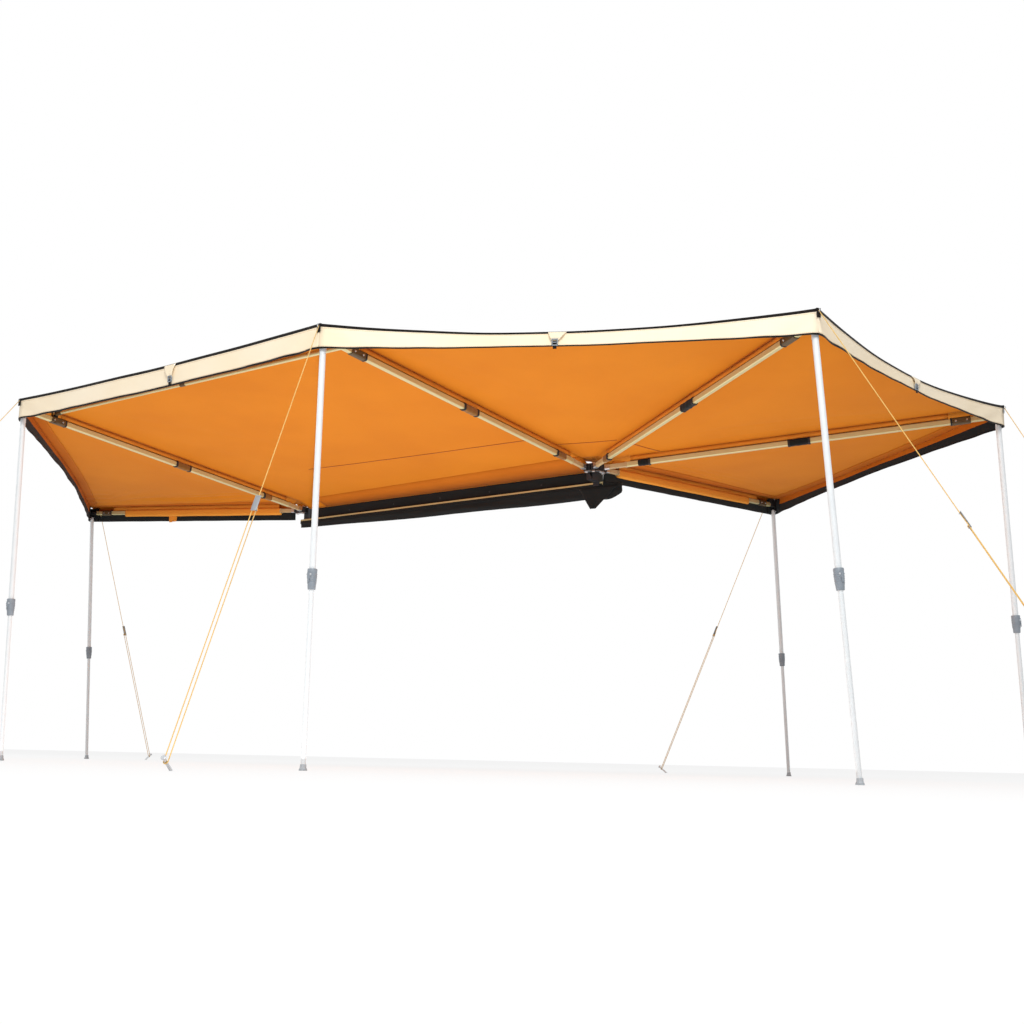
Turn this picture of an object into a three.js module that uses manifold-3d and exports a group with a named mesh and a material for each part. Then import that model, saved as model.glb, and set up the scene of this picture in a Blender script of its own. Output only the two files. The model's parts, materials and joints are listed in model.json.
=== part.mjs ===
// A side awning that opens round 270 degrees, shown opened out and pegged down.
// Millimetres, +Z up. +X runs along the base rail, +Y points outboard of it, and Z = 0 is the ground.
// The origin lies on the ground under the middle of everything but the ropes and pegs.
// Arms are numbered round the fan: 1 and 2 turn on the front hub, 3 to 6 on the rear hub.
import * as THREE from "three";
import { mergeVertices } from "three/addons/utils/BufferGeometryUtils.js";
import Module from "manifold-3d";

const wasm = await Module();
wasm.setup();

// Overall layout.
const HUB_HEIGHT = 1752;
const HUB_SPACING = 2343;
const CORNER_HEIGHT = 1965;
const LANE = 48;
const REAR_PIN_BACK = 10;
const REAR_PIN_OUT = 35;
const FRONT_PIN_AHEAD = 21;

// The six canopy corners from their hub centre: heading in degrees from +X, and share of the reach.
const ARM_REACH = 2280;
const CORNER_HEADINGS = { 1: 2.1, 2: 91.6, 3: 89.7, 4: 146.2, 5: 196.1, 6: 265.4 };
const REACH_SHARES = { 1: 0.9781, 2: 0.9956, 3: 1, 4: 1.011, 5: 0.9934, 6: 0.9991 };
// How far each pole's foot stands off plumb, as shares of the hub height: along its arm, and to its left.
const FOOT_LEAN_SHARES = {
  1: [-0.017, -0.06],
  2: [-0.0285, 0],
  3: [0, 0],
  4: [0.063, 0.0457],
  5: [0.04, 0.0457],
  6: [0.097, 0],
};
// Each guy rope's heading in degrees, and how far out its peg stands, as a share of the corner height.
const ROPE_HEADING = { 1: 276, 2: 68, 3: 110, 4: 200, 5: 200, 6: 0 };
const ROPE_REACH_SHARES = { 1: 0.341, 2: 0.662, 3: 0.529, 4: 0.555, 5: 0.509, 6: 0.407 };
// The first and last arms hold their rope this far inside the corner.
const FIRST_ROPE_INSET = 107;
const LAST_ROPE_INSET = 115;

const GAP = 0.3;
const OVERRUN = 10;

// Base rail, storage bag and roof brackets.
const RAIL_DEPTH = 40;
const RAIL_TALL = 23;
const RAIL_DROP = 62;
const RAIL_CLEAR = 20;
const RAIL_END = 20;
const RAIL_CHAMFER = 3;
const BAG_WIDTH = 30;
const BAG_TALL_REAR = 78;
const BAG_TALL_FRONT = 34;
const BAG_SAG = 9;
const BAG_CLEAR = 2;
// The bag's section, as shares of its width and of its depth below the rail.
const BAG_SECTION_SHARES = [
  [-0.35, 0],
  [-0.5, 0.3],
  [-0.45, 0.7],
  [-0.2, 1],
  [0.25, 1],
  [0.5, 0.7],
  [0.5, 0.3],
  [0.35, 0],
];
const BRACKET_WIDTH = 80;
const BRACKET_DEPTH = 120;
const BRACKET_THICK = 5;
const BRACKET_LIP = 26;
const BRACKET_SHARES = [0.22, 0.8];

// Hubs and knuckles.
const PIN_RADIUS = 5;
const PIN_CLEARANCE = 0.3;
const PIN_SIDES = 16;
const HEAD_RADIUS = 9;
const HEAD_TALL = 6;
const HEAD_SIDES = 6;
const BOSS_RADIUS = 16;
const BOSS_HALF = 13;
const EAR_GAP = 0.4;
const EAR_THICK = 7.6;
const WEB_HALF_WIDTH = 12;
const WEB_NEAR = 17;
const HUB_HALF_WIDTH = 20;
const HUB_BLOCK_NEAR = 32;
const HUB_BLOCK_TOP = 22;
const HUB_CHEEK = 9;

// Arm tubes and their end fittings.
const ARM_WIDTH = 25;
const ARM_TALL = 30;
const ARM_WALL = 2;
const ARM_CHAMFER = 4;
const ARM_INNER_CHAMFER = 1;
const TONGUE_PLAY = 0.7;
const ARM_START = 150;
const TONGUE_LEVEL = 20;
const TONGUE_END = 230;
const TIP_INSET = 27;
const TIP_LONG = 63;
const TIP_TONGUE = 50;
const TIP_HALF_WIDTH = 19;
const TIP_CLEAR = 7;
const LOW_TIP_TOP = 10;
const RIDGE_HALF_WIDTH = 4;
const POLE_INSET = 30;
const POLE_DROP = 45;
const CHEEK_THICK = 3;
const CHEEK_GAP = 0.4;
const CHEEK_HALF = 7;
const CROSS_PIN_PROUD = 1.5;
const CROSS_PIN_RADIUS = 4;
const SADDLE_THICK = 6;
const STANDOFF_RADIUS = 10;
const SADDLE_END = 250;

// Poles.
const UPPER_RADIUS = 14;
const UPPER_BORE = 12.2;
const UPPER_TOP = 14;
const BORE_TOP = 45;
const LOWER_RADIUS = 11;
const LOWER_BORE = 9.4;
const LOWER_SOLID = 40;
const POLE_OVERLAP = 150;
const LOCK_HEIGHT = 770;
const LOCK_TALL = 90;
const LOCK_STEP = 32;
const LOCK_TOP_RADIUS = 22;
const LOCK_FOOT_RADIUS = 17;
const LOCK_CLEARANCE = 0.3;
const FOOT_RADIUS = 18;
const FOOT_TALL = 14;
const POLE_SIDES = 12;

// Spreader.
const SPREADER_RADIUS = 8;
const SPREADER_SETBACK = 230;
const SPREADER_LIFT = 35;
const LUG_RADIUS = 12;
const LUG_PIN_TOP = 9;
const SPREADER_SIDES = 10;

// Canopy and valance.
const SHEET = 2;
const CANOPY_LIFT = 48;
const VALANCE_DROP = 115;
const FAN_INNER = 40;
const FAN_BOW = 60;
const FAN_SAG = 50;
const MAIN_BOW = 30;
const MAIN_SAG = 4;
const HEM_HEIGHT = 10;
const HEM_INSET = 35;
const RADIAL_STEPS = 6;
const SPAN_STEPS = 10;
const SEAM_GAP = 0.25;

// Guy ropes and pegs.
const ROPE_DIAMETER = 4;
const ROPE_SIDES = 8;
const ROPE_EXIT_OUT = 0.4;
const ROPE_EXIT_DOWN = 8;
const RUNNER_SHARE = 0.46;
const RUNNER_LONG = 70;
const RUNNER_STEPS = 5;
const STRAND_HALF = 8.5;
const LOOP_STEPS = 6;
const PEG_RADIUS = 5.6;
const PEG_LEAN = 52;
const PEG_LONG = 78;
const PEG_LOOP_UP = 52;
const PEG_HEAD_RADIUS = 10;
const PEG_HEAD_TALL = 7;
const PEG_SIDES = 10;

const finish = (color, roughness, metalness) =>
  new THREE.MeshStandardMaterial({ color, roughness, metalness });
const materials = {
  gold: finish(0xc9b588, 0.45, 0.8),
  white: finish(0xe4e6e8, 0.4, 0.5),
  steel: finish(0x2b2c30, 0.5, 0.6),
  bracket: finish(0x6b4a26, 0.6, 0.1),
  lock: finish(0x8d949c, 0.5, 0.2),
  canvas: finish(0xdd822b, 0.9, 0),
  bag: finish(0x16181c, 0.9, 0),
  rope: finish(0xe9d9a8, 0.9, 0),
  peg: finish(0xb8bcc0, 0.35, 0.9),
};

// Solids: geometry in, manifold solid out, and back again.
function solid(geometry) {
  const bare = geometry.clone();
  bare.deleteAttribute("normal");
  bare.deleteAttribute("uv");
  const merged = mergeVertices(bare, 1e-3);
  return new wasm.Manifold(
    new wasm.Mesh({
      numProp: 3,
      vertProperties: merged.attributes.position.array,
      triVerts: new Uint32Array(merged.index.array),
    }),
  );
}

function geometryOf(body) {
  const made = body.getMesh();
  const geometry = new THREE.BufferGeometry();
  geometry.setAttribute("position", new THREE.BufferAttribute(made.vertProperties, 3));
  geometry.setIndex(new THREE.BufferAttribute(made.triVerts, 1));
  geometry.computeVertexNormals();
  return geometry;
}

const join = (geometries) => geometries.map(solid).reduce((all, next) => all.add(next));

function mesh(name, geometry, material) {
  const made = new THREE.Mesh(geometry, material);
  made.name = name;
  return made;
}

// A box between two corners.
function block([x0, y0, z0], [x1, y1, z1]) {
  const box = new THREE.BoxGeometry(x1 - x0, y1 - y0, z1 - z0);
  return box.translate((x0 + x1) / 2, (y0 + y1) / 2, (z0 + z1) / 2);
}

// An upright round bar between two heights.
function bar(radius, bottom, top, x = 0, y = 0, sides = PIN_SIDES) {
  const round = new THREE.CylinderGeometry(radius, radius, top - bottom, sides);
  return round.rotateX(Math.PI / 2).translate(x, y, (bottom + top) / 2);
}

// A bar along Y, for cross pins and their holes.
const crossBar = (radius, half, sides = PIN_SIDES) =>
  new THREE.CylinderGeometry(radius, radius, 2 * half, sides);

// A turned piece about Z, from [radius, height] points, bottom first on the outside.
function turned(points, sides = POLE_SIDES) {
  const profile = points.map(([radius, height]) => new THREE.Vector2(radius, height));
  return new THREE.LatheGeometry(profile, sides).rotateX(Math.PI / 2);
}

// Places along the arms.
const radians = THREE.MathUtils.degToRad;
const rearHub = new THREE.Vector2(0, 0);
const frontHub = new THREE.Vector2(HUB_SPACING, 0);
const rearPin = new THREE.Vector2(-REAR_PIN_BACK, REAR_PIN_OUT);
const frontPin = new THREE.Vector2(HUB_SPACING + FRONT_PIN_AHEAD, REAR_PIN_OUT - 2 * LANE);
const armTipHeight = CORNER_HEIGHT - SHEET - CANOPY_LIFT;

function cornerOf(number) {
  const hub = number < 3 ? frontHub : rearHub;
  const heading = radians(CORNER_HEADINGS[number]);
  const reach = new THREE.Vector2(ARM_REACH * REACH_SHARES[number], 0);
  return reach.rotateAround(new THREE.Vector2(), heading).add(hub);
}

function armFrom(number, pin) {
  const corner = cornerOf(number);
  const along = corner.clone().sub(pin);
  const length = along.length();
  const slope = Math.atan2(armTipHeight - HUB_HEIGHT, length);
  return { number, pin, corner, length, slope, heading: along.angle() };
}

// The next pin sits one lane to the side of the arm that carries it.
function nextPin(arm, side) {
  const sideways = new THREE.Vector2(0, side * LANE);
  return sideways.rotateAround(new THREE.Vector2(), arm.heading).add(arm.pin);
}

const arms = {};
arms[2] = armFrom(2, frontPin);
arms[1] = armFrom(1, nextPin(arms[2], -1));
arms[3] = armFrom(3, rearPin);
arms[4] = armFrom(4, nextPin(arms[3], 1));
arms[5] = armFrom(5, nextPin(arms[4], 1));
arms[6] = armFrom(6, nextPin(arms[5], 1));
// The side on which an arm's knuckle carries the next arm's pin, or 0 at the end of the chain.
const FORK_SIDE = { 1: 0, 2: -1, 3: 1, 4: 1, 5: 1, 6: 0 };

// Two ears with a headed pin between them, round a pin at x, y; the reach runs to their root.
function fork(x, y, rootX, rootY) {
  const pieces = [];
  const inner = BOSS_HALF + EAR_GAP;
  const outer = inner + EAR_THICK;
  const low = [Math.min(x, rootX) - (x === rootX ? WEB_HALF_WIDTH : 0), Math.min(y, rootY)];
  const high = [Math.max(x, rootX) + (x === rootX ? WEB_HALF_WIDTH : 0), Math.max(y, rootY)];
  for (const side of [-1, 1]) {
    const [bottom, top] = side > 0 ? [inner, outer] : [-outer, -inner];
    pieces.push(bar(BOSS_RADIUS, bottom, top, x, y));
    pieces.push(block([...low, bottom], [...high, top]));
    const [headBottom, headTop] = side > 0 ? [outer, outer + HEAD_TALL] : [-outer - HEAD_TALL, -outer];
    pieces.push(bar(HEAD_RADIUS, headBottom, headTop, x, y, HEAD_SIDES));
  }
  pieces.push(bar(PIN_RADIUS, -outer, outer, x, y));
  return pieces;
}

const upTheSlope = (geometry, slope) => geometry.rotateY(-slope);
const tongueHalfWidth = ARM_WIDTH / 2 - ARM_WALL - TONGUE_PLAY;
const tongueHalfTall = ARM_TALL / 2 - ARM_WALL - TONGUE_PLAY;

// A knuckle turns on its own pin, plugs into its arm tube, and may carry the next pin.
function knuckle(arm) {
  const side = FORK_SIDE[arm.number];
  const outer = BOSS_HALF + EAR_GAP + EAR_THICK;
  const tongueStart = [BOSS_RADIUS / 2, -tongueHalfWidth, -tongueHalfTall];
  const pieces = [
    bar(BOSS_RADIUS, -BOSS_HALF, BOSS_HALF),
    block(tongueStart, [TONGUE_LEVEL + OVERRUN, tongueHalfWidth, tongueHalfTall]),
    upTheSlope(
      block([TONGUE_LEVEL, -tongueHalfWidth, -tongueHalfTall], [TONGUE_END, tongueHalfWidth, tongueHalfTall]),
      arm.slope,
    ),
  ];
  if (side) {
    const webFar = LANE - WEB_NEAR;
    const near = Math.min(0, side * webFar);
    const far = Math.max(0, side * webFar);
    const web = [Math.min(side * WEB_NEAR, side * webFar), Math.max(side * WEB_NEAR, side * webFar)];
    pieces.push(block([-WEB_HALF_WIDTH, near, -BOSS_HALF], [WEB_HALF_WIDTH, far, BOSS_HALF]));
    pieces.push(block([-WEB_HALF_WIDTH, web[0], -outer], [WEB_HALF_WIDTH, web[1], outer]));
    pieces.push(...fork(0, side * LANE, 0, side * webFar));
  }
  const bore = bar(PIN_RADIUS + PIN_CLEARANCE, -BOSS_HALF - OVERRUN, BOSS_HALF + OVERRUN);
  return geometryOf(join(pieces).subtract(solid(bore)));
}

// The arm's tube: a box section with chamfered corners, open at both ends.
function sectionPath(path, halfWidth, halfTall, chamfer) {
  path.moveTo(halfWidth, halfTall - chamfer);
  path.lineTo(halfWidth - chamfer, halfTall);
  path.lineTo(chamfer - halfWidth, halfTall);
  path.lineTo(-halfWidth, halfTall - chamfer);
  path.lineTo(-halfWidth, chamfer - halfTall);
  path.lineTo(chamfer - halfWidth, -halfTall);
  path.lineTo(halfWidth - chamfer, -halfTall);
  path.lineTo(halfWidth, chamfer - halfTall);
  path.closePath();
  return path;
}

// Turns an extrusion so that it runs along +X with its section upright.
function alongX(geometry) {
  const turn = new THREE.Matrix4().makeBasis(
    new THREE.Vector3(0, 1, 0),
    new THREE.Vector3(0, 0, 1),
    new THREE.Vector3(1, 0, 0),
  );
  return geometry.applyMatrix4(turn);
}

function armTube(arm) {
  const section = sectionPath(new THREE.Shape(), ARM_WIDTH / 2, ARM_TALL / 2, ARM_CHAMFER);
  const hollow = [ARM_WIDTH / 2 - ARM_WALL, ARM_TALL / 2 - ARM_WALL];
  section.holes.push(sectionPath(new THREE.Path(), ...hollow, ARM_INNER_CHAMFER));
  const long = (arm.length - TIP_INSET - TIP_LONG - GAP) / Math.cos(arm.slope);
  const end = long - (ARM_TALL / 2) * Math.tan(arm.slope);
  const tube = new THREE.ExtrudeGeometry(section, { depth: end - ARM_START, bevelEnabled: false });
  return upTheSlope(alongX(tube).translate(ARM_START, 0, 0), arm.slope);
}

// The pole's frame in its arm's frame: hung on the cross pin, -Z down the pole to its foot.
function poleFrame(arm) {
  const [leanOut, leanLeft] = FOOT_LEAN_SHARES[arm.number].map((share) => share * HUB_HEIGHT);
  const x = arm.length - POLE_INSET;
  const pivot = new THREE.Vector3(x, 0, x * Math.tan(arm.slope) - POLE_DROP);
  const foot = new THREE.Vector3(x + leanOut, leanLeft, -HUB_HEIGHT);
  const down = foot.clone().sub(pivot);
  const length = down.length();
  down.normalize();
  const inward = new THREE.Vector3(-Math.cos(arm.slope), 0, -Math.sin(arm.slope));
  const axis = down.clone().cross(inward).normalize();
  const up = down.clone().negate();
  const matrix = new THREE.Matrix4().makeBasis(axis.clone().cross(up), axis, up).setPosition(pivot);
  return { matrix, length };
}

// The fitting at an arm's outer end carries the pole, and on the rear arms it holds up the canopy.
// The front pair's fittings are low, because they pass under the spreader as they fold.
function armTip(arm) {
  const low = arm.number < 3;
  const start = arm.length - TIP_INSET - TIP_LONG;
  const end = arm.length - TIP_INSET;
  const centre = (x) => x * Math.tan(arm.slope);
  const top = centre(start) + (low ? LOW_TIP_TOP : CANOPY_LIFT - TIP_CLEAR);
  const long = 1 / Math.cos(arm.slope);
  const tongue = block(
    [start * long - TIP_TONGUE, -tongueHalfWidth, -tongueHalfTall],
    [start * long + OVERRUN, tongueHalfWidth, tongueHalfTall],
  );
  const head = block(
    [start, -TIP_HALF_WIDTH, centre(end) - ARM_TALL / 2],
    [end, TIP_HALF_WIDTH, top],
  );
  const ridgeTop = CANOPY_LIFT * Math.cos(arm.slope) - 2 * GAP;
  const ridge = block([start * long, -RIDGE_HALF_WIDTH, 0], [end * long, RIDGE_HALF_WIDTH, ridgeTop]);
  const pieces = [upTheSlope(tongue, arm.slope), head];
  if (!low) pieces.push(upTheSlope(ridge, arm.slope));
  const { matrix } = poleFrame(arm);
  const cheekInner = UPPER_RADIUS + CHEEK_GAP;
  for (const side of [-1, 1]) {
    const cheek = block(
      [-CHEEK_HALF, side > 0 ? cheekInner : -cheekInner - CHEEK_THICK, -CHEEK_HALF],
      [CHEEK_HALF, side > 0 ? cheekInner + CHEEK_THICK : -cheekInner, POLE_DROP - ARM_TALL / 2 + OVERRUN],
    );
    pieces.push(cheek.applyMatrix4(matrix));
  }
  const pin = crossBar(CROSS_PIN_RADIUS, cheekInner + CHEEK_THICK + CROSS_PIN_PROUD);
  pieces.push(pin.applyMatrix4(matrix));
  if (arm.number === 3) pieces.push(...saddle(arm, start));
  return geometryOf(join(pieces));
}

// The saddle on top of arm 3's tube, with the spreader's swivel pin.
function saddle(arm, start) {
  const bottom = ARM_TALL / 2 + GAP;
  const top = bottom + SADDLE_THICK;
  const long = 1 / Math.cos(arm.slope);
  const plate = block(
    [(arm.length - SADDLE_END) * long, -ARM_WIDTH / 2, bottom],
    [(start + OVERRUN) * long, ARM_WIDTH / 2, top],
  );
  const at = (arm.length - SPREADER_SETBACK) * long;
  const standoff = bar(STANDOFF_RADIUS, bottom, SPREADER_LIFT - SPREADER_RADIUS - GAP, at);
  const pin = bar(CROSS_PIN_RADIUS, bottom, SPREADER_LIFT + LUG_PIN_TOP, at);
  return [plate, standoff, pin].map((piece) => upTheSlope(piece, arm.slope));
}

// Pole pieces, in the pole's frame.
function lockPlaces(pole) {
  const bottom = LOCK_HEIGHT - pole.length;
  return { bottom, step: bottom + LOCK_STEP, top: bottom + LOCK_TALL };
}

function poleUpper(pole) {
  const { step } = lockPlaces(pole);
  const shell = turned([
    [UPPER_BORE, step + GAP],
    [UPPER_RADIUS, step + GAP],
    [UPPER_RADIUS, 0],
    [UPPER_RADIUS * Math.cos(Math.PI / 4), UPPER_TOP * Math.sin(Math.PI / 4)],
    [0, UPPER_TOP],
    [0, -BORE_TOP],
    [UPPER_BORE, -BORE_TOP],
    [UPPER_BORE, step + GAP],
  ]);
  const hole = crossBar(CROSS_PIN_RADIUS + PIN_CLEARANCE, UPPER_RADIUS + OVERRUN);
  return geometryOf(solid(shell).subtract(solid(hole)));
}

function poleLower(pole) {
  const foot = -pole.length;
  const top = LOCK_HEIGHT + LOCK_STEP + POLE_OVERLAP - pole.length;
  const tube = turned([
    [0, foot],
    [LOWER_RADIUS, foot],
    [LOWER_RADIUS, top],
    [LOWER_BORE, top],
    [LOWER_BORE, foot + LOWER_SOLID],
    [0, foot + LOWER_SOLID],
  ]);
  return tube;
}

// The foot pad lies flat on the ground, whatever the pole's lean.
function poleLowerWithFoot(arm, pole) {
  const toArm = pole.matrix.clone();
  const back = pole.matrix.clone().invert();
  const footPoint = new THREE.Vector3(0, 0, -pole.length).applyMatrix4(toArm);
  const pad = bar(FOOT_RADIUS, 0, FOOT_TALL, 0, 0, POLE_SIDES);
  pad.translate(footPoint.x, footPoint.y, footPoint.z);
  const below = block(
    [-FOOT_RADIUS * 2, -FOOT_RADIUS * 2, -OVERRUN],
    [FOOT_RADIUS * 2, FOOT_RADIUS * 2, 0],
  );
  below.translate(footPoint.x, footPoint.y, footPoint.z);
  const body = solid(poleLower(pole))
    .add(solid(pad.applyMatrix4(back)))
    .subtract(solid(below.applyMatrix4(back)));
  return geometryOf(body);
}

// The lock's bores are faceted too, so their flats clear the poles' corners as the lock turns.
function poleLock(pole) {
  const { bottom, step, top } = lockPlaces(pole);
  const flat = Math.cos(Math.PI / POLE_SIDES);
  const lowerBore = (LOWER_RADIUS + LOCK_CLEARANCE) / flat;
  const upperBore = (UPPER_RADIUS + LOCK_CLEARANCE) / flat;
  return turned([
    [lowerBore, bottom],
    [LOCK_FOOT_RADIUS, bottom],
    [LOCK_TOP_RADIUS, (step + top) / 2],
    [LOCK_TOP_RADIUS, top],
    [upperBore, top],
    [upperBore, step],
    [lowerBore, step],
    [lowerBore, bottom],
  ]);
}

// Root pieces: rail, hubs, brackets and bag, at arm level in Z until placed.
const railOutboard = frontPin.y - RAIL_CLEAR;
const railInboard = railOutboard - RAIL_DEPTH;
const railRear = rearPin.x - HUB_HALF_WIDTH - RAIL_END;
const railFront = frontPin.x + HUB_HALF_WIDTH + RAIL_END;
const railTop = -RAIL_DROP;
const railBottom = railTop - RAIL_TALL;

function baseRail() {
  const section = sectionPath(new THREE.Shape(), RAIL_DEPTH / 2, RAIL_TALL / 2, RAIL_CHAMFER);
  const rail = new THREE.ExtrudeGeometry(section, { depth: railFront - railRear, bevelEnabled: false });
  const middle = [(railOutboard + railInboard) / 2, (railTop + railBottom) / 2];
  return alongX(rail).translate(railRear, ...middle);
}

// A hub bolts on the rail and holds the first pin of its chain between two ears.
function hub(pin) {
  const near = pin.y - HUB_BLOCK_NEAR;
  const seat = railTop + GAP;
  const pieces = [
    block([pin.x - HUB_HALF_WIDTH, railInboard, seat], [pin.x + HUB_HALF_WIDTH, near, HUB_BLOCK_TOP]),
    ...fork(pin.x, pin.y, pin.x, near - OVERRUN / 2),
  ];
  if (near > railOutboard + HUB_CHEEK) {
    const cheekTop = [pin.x + HUB_HALF_WIDTH, railOutboard + GAP + HUB_CHEEK, seat + OVERRUN];
    pieces.push(block([pin.x - HUB_HALF_WIDTH, railOutboard + GAP, railBottom], cheekTop));
  }
  return geometryOf(join(pieces));
}

function roofBracket(share) {
  const x = railRear + share * (railFront - railRear);
  const plateTop = railBottom - GAP;
  const bottom = plateTop - BRACKET_THICK;
  const inboard = railOutboard - BRACKET_DEPTH;
  const lipOut = railInboard - GAP;
  const wide = [x - BRACKET_WIDTH / 2, x + BRACKET_WIDTH / 2];
  return geometryOf(
    join([
      block([wide[0], inboard, bottom], [wide[1], railOutboard - BAG_WIDTH - BAG_CLEAR, plateTop]),
      block([wide[0], lipOut - BRACKET_THICK, bottom], [wide[1], lipOut, bottom + BRACKET_LIP]),
    ]),
  );
}

// A solid made of equal rings of points, capped at both ends by quads between its two halves.
function loft(rings) {
  const count = rings[0].length;
  const half = count / 2;
  const index = [];
  for (let ring = 0; ring + 1 < rings.length; ring++)
    for (let point = 0; point < count; point++) {
      const next = (point + 1) % count;
      const a = ring * count + point;
      const b = ring * count + next;
      const c = (ring + 1) * count + next;
      const d = (ring + 1) * count + point;
      index.push(a, b, c, a, c, d);
    }
  const last = (rings.length - 1) * count;
  for (let point = 0; point + 1 < half; point++) {
    const mirror = count - 1 - point;
    index.push(point, mirror, point + 1, mirror, mirror - 1, point + 1);
    index.push(last + point, last + point + 1, last + mirror);
    index.push(last + mirror, last + point + 1, last + mirror - 1);
  }
  const geometry = new THREE.BufferGeometry();
  const positions = rings.flat().flatMap((point) => point.toArray());
  geometry.setAttribute("position", new THREE.Float32BufferAttribute(positions, 3));
  geometry.setIndex(index);
  const flipped = solidVolume(geometry) < 0;
  if (flipped) geometry.setIndex(index.map((_, i) => index[i - (i % 3) + (2 - (i % 3))]));
  geometry.computeVertexNormals();
  return geometry;
}

// The signed volume inside a closed indexed surface.
function solidVolume(geometry) {
  const at = geometry.attributes.position;
  const index = geometry.index.array;
  const corner = (i) => new THREE.Vector3().fromBufferAttribute(at, index[i]);
  let total = 0;
  for (let i = 0; i < index.length; i += 3)
    total += corner(i).dot(corner(i + 1).cross(corner(i + 2)));
  return total / 6;
}

// The emptied bag hangs under the rail, deeper at the rear.
function bag() {
  const top = railBottom - GAP;
  const middle = railOutboard - BAG_WIDTH / 2;
  const stations = RADIAL_STEPS;
  const rings = [];
  for (let step = 0; step <= stations; step++) {
    const along = step / stations;
    const x = railRear + along * (railFront - railRear);
    const sag = BAG_SAG * Math.sin(along * Math.PI);
    const tall = BAG_TALL_REAR + along * (BAG_TALL_FRONT - BAG_TALL_REAR) + sag;
    const ring = [];
    for (const [widthShare, dropShare] of BAG_SECTION_SHARES)
      ring.push(new THREE.Vector3(x, middle + widthShare * BAG_WIDTH, HUB_HEIGHT + top - dropShare * tall));
    rings.push(ring);
  }
  return loft(rings);
}

// Canopy: underside heights follow the arms, one lift above their centrelines.
function canopyPoint(arm, along, aside) {
  const direction = new THREE.Vector2(1, 0).rotateAround(new THREE.Vector2(), arm.heading);
  const at = arm.pin.clone().addScaledVector(direction, along);
  at.add(new THREE.Vector2(0, aside).rotateAround(new THREE.Vector2(), arm.heading));
  const height = HUB_HEIGHT + along * Math.tan(arm.slope) + CANOPY_LIFT + SHEET;
  return new THREE.Vector3(at.x, at.y, height);
}

// A ring across the sheet at one station: over the top, down the valance, and back underneath.
function sheetRing(topLine, valanceFoot, hemPoints) {
  const edge = topLine[topLine.length - 1];
  const inward = topLine[topLine.length - 2].clone().sub(edge).setZ(0).normalize();
  const under = topLine.map((point) => point.clone().setZ(point.z - SHEET));
  under[under.length - 1].addScaledVector(inward, SHEET);
  // The hem hangs upright, so its thickness is level, and its foot stays at one height.
  under.slice(0, hemPoints).forEach((point) => point.addScaledVector(inward, -SHEET));
  if (hemPoints) under[0].setZ(topLine[0].z);
  const footOut = edge.clone().setZ(valanceFoot);
  const footIn = footOut.clone().addScaledVector(inward, SHEET);
  return [...topLine, footOut, footIn, ...under.reverse()];
}

// The sheet between two lines of points, bowed in and sagging between its corners.
function sheetPanel(lineA, lineB, bow, sag, hemPoints = 0) {
  const rings = [];
  for (let step = 0; step <= SPAN_STEPS; step++) {
    const share = step / SPAN_STEPS;
    const belly = 4 * share * (1 - share);
    const raw = lineA.map((point, i) => point.clone().lerp(lineB[i], share));
    const inner = raw[0];
    const outward = raw[raw.length - 1].clone().sub(inner).setZ(0).normalize();
    const top = raw.map((point, i) => {
      const out = i / (raw.length - 1);
      const moved = point.clone().addScaledVector(outward, -bow * belly * out);
      return moved.setZ(point.z - sag * belly * out * out);
    });
    rings.push(sheetRing(top, CORNER_HEIGHT - VALANCE_DROP, hemPoints));
  }
  return loft(rings);
}

function armLine(arm, aside) {
  const line = [];
  for (let step = 0; step <= RADIAL_STEPS; step++) {
    const along = FAN_INNER + (step / RADIAL_STEPS) * (arm.length - FAN_INNER);
    line.push(canopyPoint(arm, along, aside));
  }
  return line;
}

// Between two neighbouring arms of one hub.
function fanPanel(first, second) {
  const turn = second.heading - first.heading;
  const side = Math.sign(Math.sin(turn));
  return sheetPanel(armLine(first, side * SEAM_GAP), armLine(second, -side * SEAM_GAP), FAN_BOW, FAN_SAG);
}

// Between arms 2 and 3, from the outer edge to the rail, with a hem down to the rail's top.
function mainPanel() {
  const railLine = (railOutboard + railInboard) / 2;
  const lines = [arms[3], arms[2]].map((arm, i) => {
    const line = armLine(arm, i ? SEAM_GAP : -SEAM_GAP);
    const hemX = arm.pin.x + (i ? -HEM_INSET : HEM_INSET);
    const hem = new THREE.Vector3(hemX, railLine, HUB_HEIGHT + HEM_HEIGHT);
    const foot = hem.clone().setZ(HUB_HEIGHT + railTop + GAP);
    return [foot, hem, ...line];
  });
  return sheetPanel(lines[0], lines[1], MAIN_BOW, MAIN_SAG, 2);
}

// The spreader swivels on arm 3's saddle pin, and its far end lies over arm 2's tube.
function spreaderEnds() {
  return [arms[3], arms[2]].map((arm) => {
    const at = arm.length - SPREADER_SETBACK;
    const point = canopyPoint(arm, at - SPREADER_LIFT * Math.sin(arm.slope), 0);
    return point.setZ(HUB_HEIGHT + at * Math.tan(arm.slope) + SPREADER_LIFT * Math.cos(arm.slope));
  });
}

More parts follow.
